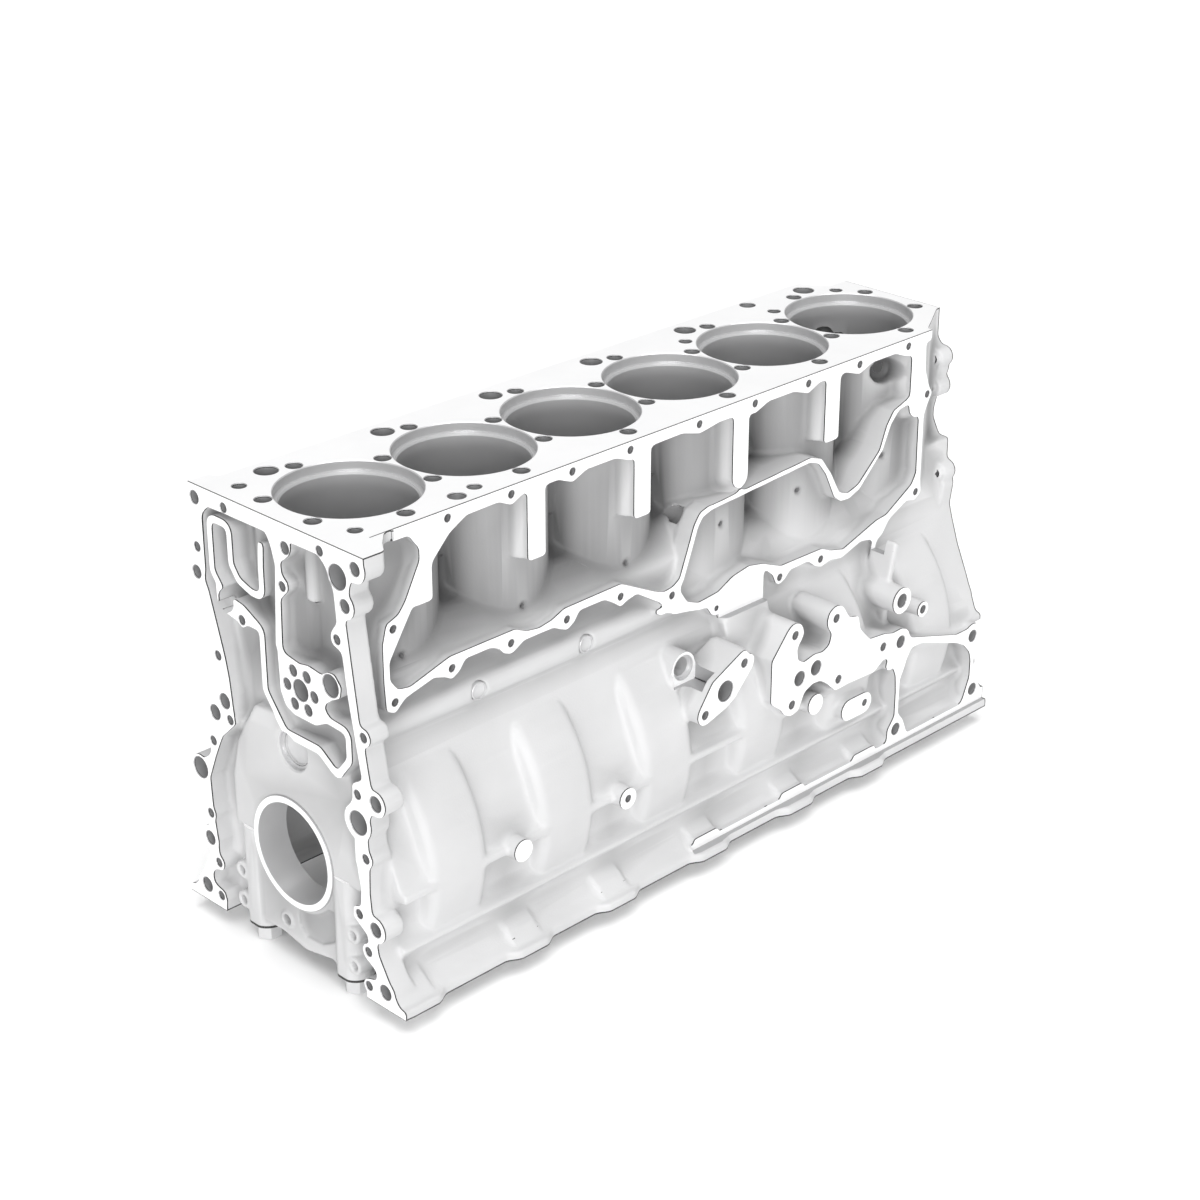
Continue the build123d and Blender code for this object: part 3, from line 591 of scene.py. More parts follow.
def box_solid(low: tuple, high: tuple) -> tuple:
    """A box between two corners.

    Args:
        low: Low corner, in mm.
        high: High corner.

    Returns:
        Points and faces.
    """
    points = [(x, y, z) for x in (low[0], high[0]) for y in (low[1], high[1]) for z in (low[2], high[2])]
    faces = [(0, 1, 3, 2), (4, 6, 7, 5), (0, 4, 5, 1), (2, 3, 7, 6), (0, 2, 6, 4), (1, 5, 7, 3)]
    return np.array(points, float), faces


def combine(obj: bpy.types.Object, solid: tuple, name: str, operation: str = "DIFFERENCE") -> None:
    """Cuts a closed solid out of a mesh, or adds it.

    Args:
        obj: The piece.
        solid: Points in mm and faces of the cutter.
        name: Name used in the log.
        operation: DIFFERENCE, UNION or INTERSECT.
    """
    cutter = mesh_object(name, *solid)
    modifier = obj.modifiers.new("cut", "BOOLEAN")
    modifier.operation = operation
    modifier.solver = "MANIFOLD"
    modifier.object = cutter
    before = len(obj.data.polygons)
    apply_modifiers(obj)
    log.info("cut %s: %d to %d faces", name, before, len(obj.data.polygons))
    bpy.data.objects.remove(cutter)


def apply_modifiers(obj: bpy.types.Object) -> None:
    """Makes an object's modified mesh its own.

    Args:
        obj: The object, whose modifiers go.
    """
    graph = bpy.context.evaluated_depsgraph_get()
    mesh = bpy.data.meshes.new_from_object(obj.evaluated_get(graph))
    obj.modifiers.clear()
    old = obj.data
    obj.data = mesh
    bpy.data.meshes.remove(old)


def put(tree: bpy.types.NodeTree, kind: str, settings: dict, inputs: dict) -> bpy.types.Node:
    """Adds a shader node.

    Args:
        tree: The node tree.
        kind: Its class, without the "ShaderNode" in front.
        settings: Its own settings.
        inputs: A value or an output socket for each input, by name or place.

    Returns:
        The node.
    """
    made = tree.nodes.new("ShaderNode" + kind)
    for name, value in settings.items():
        setattr(made, name, value)
    for name, value in inputs.items():
        if isinstance(value, bpy.types.NodeSocket):
            tree.links.new(value, made.inputs[name])
        else:
            made.inputs[name].default_value = value
    return made


def mixed(tree: bpy.types.NodeTree, share: object, low: object, high: object) -> bpy.types.NodeSocket:
    """Adds a mix of two colours.

    Args:
        tree: The node tree.
        share: Socket of the share of the second colour.
        low: First colour, or its socket.
        high: Second colour, or its socket.

    Returns:
        The socket of the mixed colour.
    """
    colours = [(*c, 1.0) if isinstance(c, tuple) and len(c) == 3 else c for c in (low, high)]
    return put(tree, "Mix", {"data_type": "RGBA"}, {0: share, 6: colours[0], 7: colours[1]}).outputs[2]


def maths(tree: bpy.types.NodeTree, operation: str, *values: object) -> bpy.types.NodeSocket:
    """Adds a Math node.

    Args:
        tree: The node tree.
        operation: What it works out.
        values: A number or an output socket for each of its inputs, in order.

    Returns:
        The socket of its result.
    """
    return put(tree, "Math", {"operation": operation}, dict(enumerate(values))).outputs[0]


def spread_out(tree: bpy.types.NodeTree, value: bpy.types.NodeSocket, span: tuple,
               to: tuple = (0.0, 1.0)) -> bpy.types.NodeSocket:
    """Adds a node that carries one span of values over to another.

    Args:
        tree: The node tree.
        value: The socket of the value.
        span: Lowest and highest value that matter.
        to: What those two become.

    Returns:
        The socket of the result.
    """
    limits = {"From Min": span[0], "From Max": span[1], "To Min": to[0], "To Max": to[1]}
    return put(tree, "MapRange", {}, {"Value": value, **limits}).outputs["Result"]


def effect(name: str, inputs: dict, outputs: tuple) -> tuple:
    """An empty node group.

    Args:
        name: Its name.
        inputs: Default of each number that it takes. It takes a Place as well.
        outputs: Names of the numbers that it puts out.

    Returns:
        The group, its input node and its output node.
    """
    tree = bpy.data.node_groups.new(name, "ShaderNodeTree")
    tree.interface.new_socket(name="Place", in_out="INPUT", socket_type="NodeSocketVector")
    for label, value in inputs.items():
        made = tree.interface.new_socket(name=label, in_out="INPUT", socket_type="NodeSocketFloat")
        made.default_value = value
    for label in outputs:
        tree.interface.new_socket(name=label, in_out="OUTPUT", socket_type="NodeSocketFloat")
    return tree, tree.nodes.new("NodeGroupInput"), tree.nodes.new("NodeGroupOutput")


class Effects:
    """Surface effects that more than one finish uses, each a node group made once."""

    def __init__(self, planes: tuple) -> None:
        """Makes the groups.

        Args:
            planes: (axis, place, least X, least Z), in mm, of the milled faces.
        """
        self.sand_grain = self.make_sand_grain()
        self.tool_marks = self.make_tool_marks()
        self.painted_edge_shade = self.make_painted_edge_shade(planes)

    def make_painted_edge_shade(self, planes: tuple) -> bpy.types.NodeTree:
        """Painted shade: the thin dark rim of every surface that meets one of the milled faces.

        Args:
            planes: As for the class.

        Returns:
            The group.
        """
        tree, taken, given = effect("painted_edge_shade", {"Width": 1.1}, ("Mask",))
        place = put(tree, "SeparateXYZ", {}, {0: taken.outputs["Place"]}).outputs
        normal = put(tree, "NewGeometry", {}, {}).outputs["True Normal"]
        facing = put(tree, "SeparateXYZ", {}, {0: normal}).outputs
        width = maths(tree, "MULTIPLY", taken.outputs["Width"], MM)
        total = None
        for axis, at, *least in planes:
            near = maths(tree, "COMPARE", place[axis.value], at * MM, width)
            across = maths(tree, "COMPARE", facing[axis.value], 0.0, 0.7)
            mask = maths(tree, "MULTIPLY", near, across)
            for along, value in zip("XZ", least):
                past = maths(tree, "GREATER_THAN", place[along], value * MM)
                mask = maths(tree, "MULTIPLY", mask, past)
            total = mask if total is None else maths(tree, "MAXIMUM", total, mask)
        tree.links.new(total, given.inputs["Mask"])
        return tree

    def make_sand_grain(self) -> bpy.types.NodeTree:
        """The skin that moulding sand leaves: fine grain, small pits and broad patches.

        Returns:
            The group.
        """
        tree, taken, given = effect("sand_grain", {"Grain": 420.0, "Patches": 9.0}, ("Height", "Patch"))
        place, grain = taken.outputs["Place"], taken.outputs["Grain"]
        fine = put(tree, "TexNoise", {}, {"Vector": place, "Scale": grain, "Detail": 4.0, "Roughness": 0.6})
        pits = put(tree, "TexVoronoi", {"feature": "SMOOTH_F1"}, {"Vector": place, "Scale": grain})
        patch = put(tree, "TexNoise", {}, {"Vector": place, "Scale": taken.outputs["Patches"], "Detail": 3.0})
        height = maths(tree, "MULTIPLY_ADD", pits.outputs["Distance"], 0.5, fine.outputs["Fac"])
        tree.links.new(height, given.inputs["Height"])
        tree.links.new(patch.outputs["Fac"], given.inputs["Patch"])
        return tree

    def make_tool_marks(self) -> bpy.types.NodeTree:
        """Fine lines that a cutter leaves, with faint cloudiness.

        Returns:
            The group.
        """
        tree, taken, given = effect("tool_marks", {"Lines": 260.0, "Cloud": 14.0}, ("Height", "Cloud"))
        place = taken.outputs["Place"]
        lines = put(tree, "TexWave", {"bands_direction": "DIAGONAL", "wave_profile": "SAW"},
                    {"Vector": place, "Scale": taken.outputs["Lines"], "Distortion": 0.6, "Detail": 1.0})
        cloud = put(tree, "TexNoise", {}, {"Vector": place, "Scale": taken.outputs["Cloud"], "Detail": 3.0})
        tree.links.new(lines.outputs["Fac"], given.inputs["Height"])
        tree.links.new(cloud.outputs["Fac"], given.inputs["Cloud"])
        return tree


def shell(name: str, roughness: float, metal: float) -> tuple:
    """Starts a material.

    Args:
        name: Its name.
        roughness: Roughness of its surface.
        metal: How metallic it looks.

    Returns:
        The material, its tree, its shader and the socket of the object's own coordinates.
    """
    material = bpy.data.materials.new(name)
    material.use_nodes = True
    tree = material.node_tree
    shader = tree.nodes["Principled BSDF"]
    shader.inputs["Roughness"].default_value = roughness
    shader.inputs["Metallic"].default_value = metal
    return material, tree, shader, put(tree, "TexCoord", {}, {}).outputs["Object"]


@dataclass(frozen=True)
class CastSkin:
    """Sand-cast iron, with painted light on its ridges and painted shade in its recesses.

    Attributes:
        painted_light_colour: Colour where the casting stands open.
        painted_shade_and_patch_colour: Colour in its recesses.
        edge_shade_colour: Colour of the thin rim along milled faces.
        roughness: Its roughness.
        rim: Width of the painted shade rim, in mm.
        painted_shade_openness: How open a place stands where it is darkest and where it is palest.
        patchiness: How much the broad patches darken it.
    """

    painted_light_colour: tuple = (0.56, 0.56, 0.564)
    painted_shade_and_patch_colour: tuple = (0.07, 0.07, 0.071)
    edge_shade_colour: tuple = (0.025, 0.025, 0.025)
    roughness: float = 0.55
    rim: float = 1.7
    painted_shade_openness: tuple = (-4.3, 4.6)
    patchiness: float = 0.10

    def material(self, name: str, effects: Effects) -> bpy.types.Material:
        """Makes the material.

        Args:
            name: Its name.
            effects: The shared effects.

        Returns:
            The material.
        """
        material, tree, shader, place = shell(name, self.roughness, 0.0)
        grain = put(tree, "Group", {"node_tree": effects.sand_grain},
                    {"Place": place, "Grain": 420.0, "Patches": 9.0})
        # Painted light and shade: the skin is painted paler where it stands open and darker in its recesses.
        recess = put(tree, "Attribute", {"attribute_name": "painted_shade_openness"}, {}).outputs["Fac"]
        painted_shade_share = spread_out(tree, recess, self.painted_shade_openness)
        colour = mixed(tree, painted_shade_share, self.painted_shade_and_patch_colour, self.painted_light_colour)
        patch = spread_out(tree, grain.outputs["Patch"], (0.3, 0.7), (0.0, self.patchiness))
        colour = mixed(tree, patch, colour, self.painted_shade_and_patch_colour)
        # Painted shade: a thin dark rim where the skin meets a milled face.
        edge = put(tree, "Group", {"node_tree": effects.painted_edge_shade}, {"Place": place, "Width": self.rim})
        colour = mixed(tree, edge.outputs["Mask"], colour, self.edge_shade_colour)
        tree.links.new(colour, shader.inputs["Base Color"])
        bump = put(tree, "Bump", {}, {"Height": grain.outputs["Height"], "Strength": 0.3, "Distance": 0.0004})
        tree.links.new(bump.outputs["Normal"], shader.inputs["Normal"])
        return material


@dataclass(frozen=True)
class CutFace:
    """Bright metal that a cutter leaves, with a painted shade rim where it meets a milled face.

    Attributes:
        colour: Its colour.
        dull: The colour of its faint clouds.
        roughness: Its roughness.
        metal: How metallic it looks.
        lines: Cutter lines to a metre, times 6.3.
        edge_shade_colour: Colour of the thin rim along milled faces.
        rim: Width of that painted shade rim, in mm.
    """

    colour: tuple = (0.93, 0.93, 0.932)
    dull: tuple = (0.85, 0.85, 0.855)
    roughness: float = 0.36
    metal: float = 0.15
    lines: float = 260.0
    edge_shade_colour: tuple = (0.04, 0.04, 0.04)
    rim: float = 0.8

    def material(self, name: str, effects: Effects) -> bpy.types.Material:
        """Makes the material.

        Args:
            name: Its name.
            effects: The shared effects.

        Returns:
            The material.
        """
        material, tree, shader, place = shell(name, self.roughness, self.metal)
        marks = put(tree, "Group", {"node_tree": effects.tool_marks},
                    {"Place": place, "Lines": self.lines, "Cloud": 14.0})
        colour = mixed(tree, marks.outputs["Cloud"], self.dull, self.colour)
        # Painted shade: a thin dark rim where the face meets a milled face.
        edge = put(tree, "Group", {"node_tree": effects.painted_edge_shade}, {"Place": place, "Width": self.rim})
        colour = mixed(tree, edge.outputs["Mask"], colour, self.edge_shade_colour)
        tree.links.new(colour, shader.inputs["Base Color"])
        bump = put(tree, "Bump", {},
                   {"Height": marks.outputs["Height"], "Strength": 0.05, "Distance": 0.0001})
        tree.links.new(bump.outputs["Normal"], shader.inputs["Normal"])
        return material


@dataclass(frozen=True)
class IronFinish:
    """The finishes of a cast iron piece, one to each kind of surface.

    Attributes:
        cast: Its skin.
        milled: Its joint faces.
        bored: Its turned bores.
        drilled: Its drilled holes.
    """

    cast: CastSkin = CastSkin()
    milled: CutFace = CutFace()
    bored: CutFace = CutFace(colour=(0.62, 0.62, 0.625), dull=(0.54, 0.54, 0.545), roughness=0.28,
                             metal=0.35, lines=420.0)
    # Drilled holes get a wider, darker painted shade rim at their mouths.
    drilled: CutFace = CutFace(colour=(0.40, 0.40, 0.405), dull=(0.32, 0.32, 0.325), roughness=0.40,
                               metal=0.35, lines=420.0, edge_shade_colour=(0.02, 0.02, 0.02), rim=1.8)

    def materials(self, name: str, effects: Effects) -> list:
        """Makes one material to each kind of surface.

        Args:
            name: First part of their names.
            effects: The shared effects.

        Returns:
            The materials, in the order of Surface.
        """
        return [finish.material(f"{name}_{surface.name.lower()}", effects)
                for surface, finish in zip(Surface, (self.cast, self.milled, self.bored, self.drilled))]


@dataclass
class IronCasting:
    """An iron piece: cast to its pattern, milled on its joint faces, then bored and drilled.

    Attributes:
        surfaces: Its materials, in the order of Surface.
        node: Name of its CAD node.
        name: Name of the visible piece.
        slot: Material slot of the record, not used.
        voxel: Grid spacing of the casting, in mm.
        faces: Triangles kept on the cast skin.
        stock: Metal milled off each joint face, in mm.
        edge_blend: Spread of the rounding of outer edges, in mm.
        corner_blend: Spread of the filling of inner corners, in mm.
        largest_drill: Radius of the largest hole that is drilled, in mm.
        painted_shade_spreads: (distance in mm, share) pairs that make up how open a place stands.
        ring: "upper" or "lower" half of the lip round the front main bearing, or None.
        ring_front: X of that lip's front, in mm.
        ring_depth: How far back the lip goes.
        ring_outer: Its outer radius.
        main_bore: Radius of the crankshaft's line bore.
        clearance: How far past a hole or bore the casting is closed before it is cut.
        skin_near: Distance from the pattern's skin up to which a face counts as cast.
        sharp_angle: Angle, in degrees, over which two cut faces meet in a sharp edge.
    """

    surfaces: list
    node: str
    name: str
    slot: str = "cast_iron"
    voxel: float = 2.5
    faces: int = 130000
    stock: float = 5.0
    edge_blend: float = 1.9
    corner_blend: float = 6.5
    largest_drill: float = 30.0
    painted_shade_spreads: tuple = ((14.0, 1.0), (36.0, 0.5))
    ring: str | None = None
    ring_front: float = 5.6
    ring_depth: float = 7.0
    ring_outer: float = 70.3
    main_bore: float = 61.9
    clearance: float = 1.2
    skin_near: float = 0.8
    sharp_angle: float = 28.0

    def planes(self, low: np.ndarray, high: np.ndarray) -> list:
        """The joint faces.

        Args:
            low: Low corner of the CAD node, in mm.
            high: Its high corner.

        Returns:
            A MilledPlane for each.
        """
        raise NotImplementedError

    def bores(self, low: np.ndarray, high: np.ndarray) -> list:
        """The turned bores.

        Args:
            low: Low corner of the CAD node, in mm.
            high: Its high corner.

        Returns:
            A TurnedBore for each.
        """
        return []

    def add_ribs(self, blank: CastingField) -> None:
        """Thickens thin ribs of the pattern, blank, that the grid would lose."""

    def carve(self, blank: CastingField) -> None:
        """Takes metal off the pattern, blank, where the solid has too much."""

    def loose_holes(self) -> list:
        """A DrilledHole for each hole that doesn't open on a milled plane."""
        return []

    def cast(self, points: np.ndarray, triangles: np.ndarray, holes: list, bores: list,
             planes: list) -> CastingField:
        """Makes the pattern: the CAD node with its holes closed, its stock left on and its corners rounded.

        Args:
            points: Points of the CAD node, in mm.
            triangles: Its triangles.
            holes: Drilled holes.
            bores: Turned bores.
            planes: Joint faces.

        Returns:
            The pattern.
        """
        blank = CastingField(self.voxel)
        blank.sample(points, triangles)
        for hole in holes:
            mouth = hole.plane.at
            bottom = mouth - hole.plane.sign * (hole.depth + self.clearance)
            blank.fill_cylinder(hole.plane.axis, hole.centre, hole.radius + self.clearance,
                                min(bottom, mouth), max(bottom, mouth))
        for bore in bores:
            for start, end, radius in bore.walls:
                blank.fill_cylinder(bore.axis, bore.centre, radius, start, end)
        self.add_ribs(blank)
        for plane in planes:
            blank.add_stock(plane, self.stock, 2.6 * self.voxel)
        self.carve(blank)
        if self.ring:
            blank.face_off(self.ring_outer + 3, self.ring_front + 2)
        blank.blend(self.edge_blend, self.corner_blend)
        return blank

    def machine(self, obj: bpy.types.Object, holes: list, bores: list, planes: list) -> None:
        """Cuts the joint faces, the bores and the holes.

        Args:
            obj: The piece, as cast.
            holes: Drilled holes.
            bores: Turned bores.
            planes: Joint faces.
        """
        for plane in planes:
            for low_corner, high_corner in plane.boxes:
                combine(obj, self.cutter_box(plane, low_corner, high_corner), "plane")
        for bore in bores:
            solid = turned(*lathe(list(bore.steps), bore.segments), bore.axis)
            place = np.array(bore.centre, float)
            place[bore.axis.value] = 0
            combine(obj, (solid[0] + place, solid[1]), "bore")
        for plane in planes:
            drills = [self.drill(h) for h in holes if h.plane is plane]
            if drills:
                combine(obj, joined(drills), "drills")
        if self.loose_holes():
            combine(obj, joined([self.drill(h) for h in self.loose_holes()]), "taps")

    def build(self) -> bpy.types.Object:
        """Makes the piece and hides its CAD node.

        Returns:
            The piece.
        """
        points, triangles = node_arrays(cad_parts[self.node])
        low, high = points.min(0), points.max(0)
        planes, bores = self.planes(low, high), self.bores(low, high)
        holes = [h for p in planes for h in find_holes(points, triangles, p, self.largest_drill)]
        log.info("%s: %d CAD triangles, %d holes", self.node, len(triangles), len(holes))
        blank = self.cast(points, triangles, holes, bores, planes)
        skin_points, skin_triangles = blank.polygons()
        obj = mesh_object(self.name, skin_points, skin_triangles)
        modifier = obj.modifiers.new("thin", "DECIMATE")
        modifier.ratio = min(1.0, self.faces / len(skin_triangles))
        apply_modifiers(obj)
        log.info("skin of %d triangles thinned to %d", len(skin_triangles), len(obj.data.polygons))
        if self.ring:
            lip = half_ring(self.main_bore - 1, self.ring_outer, self.ring_front,
                            self.ring_front + self.ring_depth, self.ring == "upper")
            combine(obj, lip, "ring", "UNION")
        self.machine(obj, holes, bores, planes)
        obj.data.materials.clear()
        for material in self.surfaces:
            obj.data.materials.append(material)
        self.shade(obj, blank, planes, bores)
        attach(obj, "root")
        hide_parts(self.node)
        return obj

    def cutter_box(self, plane: MilledPlane, low: tuple, high: tuple) -> tuple:
        """The box that one pass of the cutter clears.

        Args:
            plane: The plane that it leaves.
            low: Low corner of the pass, in mm.
            high: Its high corner.

        Returns:
            Points and faces.
        """
        low, high = np.array(low, float), np.array(high, float)
        if plane.sign > 0:
            low[plane.axis.value] = plane.at
        else:
            high[plane.axis.value] = plane.at
        return box_solid(tuple(low), tuple(high))

    def drill(self, hole: DrilledHole) -> tuple:
        """A drill with its chamfer and point, standing in its hole.

        Args:
            hole: The hole.

        Returns:
            Points and faces.
        """
        r, depth = hole.radius, hole.depth
        chamfer = min(1.0, 0.15 * r)
        profile = [(r + chamfer, 8.0), (r + chamfer, 0.0), (r, -chamfer), (r, -depth),
                   (0.4, -depth - 0.5 * r)]
        points, faces = lathe(profile, 32 if r < 20 else 64)
        if hole.plane.sign < 0:
            points = points * (1, 1, -1)
            faces = [tuple(reversed(f)) for f in faces]
        points, faces = turned(points, faces, hole.plane.axis)
        return points + np.array(hole.centre), faces

    def shade(self, obj: bpy.types.Object, blank: CastingField, planes: list, bores: list) -> None:
        """Sorts faces by how they were made, gives the cast ones the pattern's own normals and stores how
        open each point stands, for their painted light and shade.

        Args:
            obj: The piece.
            blank: Its pattern.
            planes: Joint faces.
            bores: Turned bores.
        """
        mesh = obj.data
        count = len(mesh.polygons)
        centres, normals = np.empty(count * 3), np.empty(count * 3)
        mesh.polygons.foreach_get("center", centres)
        mesh.polygons.foreach_get("normal", normals)
        centres, normals = centres.reshape(-1, 3) / MM, normals.reshape(-1, 3)
        cast = np.abs(blank.at(centres)) < self.skin_near
        cast &= (blank.slope(centres) * normals).sum(1) > 0.8
        radial = np.linalg.norm(centres[:, 1:], axis=1)
        cast &= ~((np.abs(centres[:, 0] - self.ring_front) < 0.9) & (radial < self.ring_outer + 0.1))
        milled = np.abs(centres[:, 0] - self.ring_front) < 0.2
        for plane in planes:
            across = plane.axis.value
            milled |= (np.abs(centres[:, across] - plane.at) < 0.1) & (np.abs(normals[:, across]) > 0.99)
        kind = np.where(milled, Surface.MILLED.value, Surface.DRILLED.value)
        kind = np.where(cast, Surface.CAST.value, kind)
        for bore in bores:
            along = bore.axis.value
            off = np.sqrt(sum((centres[:, i] - bore.centre[i]) ** 2 for i in range(3) if i != along))
            kind[~cast & ~milled & (off < max(r for r, _ in bore.steps) + 0.1)] = Surface.BORED.value
        mesh.polygons.foreach_set("material_index", kind.astype(np.int32))
        mesh.polygons.foreach_set("use_smooth", np.ones(count, bool))
        edit = bmesh.new()
        edit.from_mesh(mesh)
        for edge in edit.edges:
            if len(edge.link_faces) == 2:
                a, b = edge.link_faces
                border = (a.material_index == 0) != (b.material_index == 0)
                sharp = a.material_index and edge.calc_face_angle(0) > math.radians(self.sharp_angle)
                edge.smooth = not (border or sharp)
        edit.to_mesh(mesh)
        edit.free()
        corners = np.array([tuple(n.vector) for n in mesh.corner_normals])
        loops = np.empty(len(mesh.loops), np.int32)
        mesh.loops.foreach_get("vertex_index", loops)
        totals = np.empty(count, np.int32)
        mesh.polygons.foreach_get("loop_total", totals)
        places = np.empty(len(mesh.vertices) * 3)
        mesh.vertices.foreach_get("co", places)
        places = places.reshape(-1, 3) / MM
        pattern = blank.slope(places)
        # How open each point stands, which the cast skin turns into painted light and shade.
        painted_shade_openness = mesh.attributes.new("painted_shade_openness", "FLOAT", "POINT")
        painted_shade_values = sum(share * blank.painted_shade_openness(places, spread) for spread, share in self.painted_shade_spreads)
        painted_shade_openness.data.foreach_set("value", painted_shade_values.astype(np.float32))
        mine = cast[np.repeat(np.arange(count), totals)]
        corners[mine] = pattern[loops[mine]]
        mesh.normals_split_custom_set(corners.tolist())
        log.info("%s: %d cast faces of %d", self.name, int(cast.sum()), count)


@dataclass
class CylinderBlock(IronCasting):
    """The block itself.

    Attributes:
        pitch: Distance between cylinders, in mm.
        first: Place of the first cylinder.
        liner: Steps of a cylinder bore from the deck down, as (radius, height).
        cylinder_foot: Height where the cylinders end and the crank bays begin.
        rib_path: Middle line of the rib between the cavity's openings, as (x, z).
        rib_width: Its width.
        rim_edge: Lower edge of the cover rim over the filter pad, as (x, z).
        taps: Loose tapped holes, as (x, y, z, depth).
        tap_radius: Their radius.
        window_top: Upper edge of the windows between the cylinders and the coolant gallery.
        saddle_width: Length of a main bearing's saddle along the crankshaft.
        cover_face: Y of the face that the side cover seats on.
        pad_face: Y of the filter pad.
        ring_pad_face: Y of the ring boss beside it.
        ring_boss: Middle of that boss, as (x, z).
        ring_seat: Steps of its bore from inside out, as (radius, y).
        front_plug: Middle of the front core plug, as (y, z).
        front_seat: Steps of that plug's seat from inside out, as (radius, x).
        rim_back: Y from which the wall under the cover rim falls back.
    """

    pitch: float = 168.0
    first: float = 110.0
    liner: tuple = (
        (83.4, 420.0), (83.4, 413.3), (82.3, 412.2), (82.3, 404.3), (83.0, 404.3), (83.0, 401.3),
        (78.0, 401.3), (76.5, 398.8), (76.5, 384.8), (79.0, 379.8), (79.0, 226.0), (74.0, 218.0),
        (74.0, 136.0),
    )
    cylinder_foot: float = 196.0
    window_top: float = 377.0
    saddle_width: float = 40.8
    cover_face: float = -117.5
    pad_face: float = -179.3
    ring_pad_face: float = -138.3
    ring_boss: tuple = (497, 109)
    ring_seat: tuple = ((8.0, -105.0), (8.0, -124.0), (11.5, -124.0), (11.5, -133.0), (16.5, -133.0),
                        (16.5, -145.0))
    front_plug: tuple = (-6, 133)
    front_seat: tuple = ((21.4, 22.0), (21.4, 15.9), (25.0, 15.9), (25.0, 11.4), (26.6, 9.8), (26.6, -5.0))
    rib_path: tuple = ((506, 203), (514, 212), (529, 250), (538, 274), (547, 286), (561, 290))
    rib_width: float = 7.5
    rim_edge: tuple = ((520, 168), (545, 162), (560, 160), (568, 148), (577, 144), (587, 149), (594, 168),
                       (604, 178), (636, 183))
    rim_back: float = -112.5
    taps: tuple = ((98.5, -95.5, 248, 12), (278, -95.5, 248, 12), (444, -95.5, 248, 12),
                   (610, -95.5, 248, 12), (756, -92.5, 248, 12), (922, -92.0, 248, 12),
                   (577, -117.5, 154, 18))
    tap_radius: float = 3.4

    def planes(self, low: np.ndarray, high: np.ndarray) -> list:
        """Joint faces of the block, as in IronCasting."""
        far = 60.0
        whole = (tuple(low - far), tuple(high + far))
        cover = (((70, -140, 186), (990, -100, 430)), ((470, -140, 140), (985, -100, 186)),
                 ((48, -140, 196), (70, -100, 330)))
        side = (((470, -230, -117.4), (1070, -150, 135)), ((170, -230, -20), (390, -150, 20)))
        joint = (((-20, -95, -140), (11.5, 95, 20)), ((11.5, -111.8, -140), (1080, 111.8, 20)))
        ring_pad = (((476, -170, 88), (518, -130, 130)),)
        return [
            MilledPlane(Axis.Z, 1, high[2], (whole,)), MilledPlane(Axis.Z, -1, low[2], (whole,)),
            MilledPlane(Axis.X, -1, low[0], (whole,)), MilledPlane(Axis.X, 1, high[0], (whole,)),
            MilledPlane(Axis.Y, -1, self.cover_face, cover), MilledPlane(Axis.Y, -1, self.pad_face, side),
            MilledPlane(Axis.Z, -1, 0.0, joint), MilledPlane(Axis.Y, -1, self.ring_pad_face, ring_pad),
        ]

    def add_ribs(self, blank: CastingField) -> None:
        """Carries the cavity's floor to the rib between its two openings, and thickens the rib.

        Args:
            blank: The pattern.
        """
        window, (x, y, z) = blank.window(np.array((490, -112, 190)), np.array((556, -20, 300)))
        front, foot = -104, 236  # y of the floor's outer edge, and its height there
        bend, height = -72, 268  # where the floor gets less steep
        lower = (z - foot - (y - front)) / math.sqrt(2)
        upper = (37 * (z - height) - 24 * (y - bend)) / 44.1
        ends = np.maximum(498 - x, x - 508 - 0.494 * (z - 203))
        floor = np.maximum(np.maximum(lower, upper), np.maximum(ends, front - y))
        blank.values[window] = np.minimum(blank.values[window], floor)
        blank.add_rib(self.rib_path, self.rib_width, -119.0, -92.0)

    def carve(self, blank: CastingField) -> None:
        """Lets the wall under the cover rim fall back from it.

        Args:
            blank: The pattern.
        """
        window, (x, y, z) = blank.window(np.array((520, -200, 90)), np.array((616, -100, 184)))
        start, end, slope = 524, 612, 2.5
        rim = np.interp(x[:, 0, 0], *zip(*self.rim_edge))[:, None, None]
        outside = (self.rim_back - slope * np.maximum(0, rim - 4 - z) - y) / slope
        outside = np.where(z < rim, outside, -9)
        outside = np.minimum(outside, np.minimum(x - start, end - x))
        blank.values[window] = np.maximum(blank.values[window], outside)

    def loose_holes(self) -> list:
        """Tapped holes that don't open on a large milled face."""
        side = MilledPlane(Axis.Y, -1, 0.0, ())
        return [DrilledHole((x, y, z), side, self.tap_radius, depth) for x, y, z, depth in self.taps]

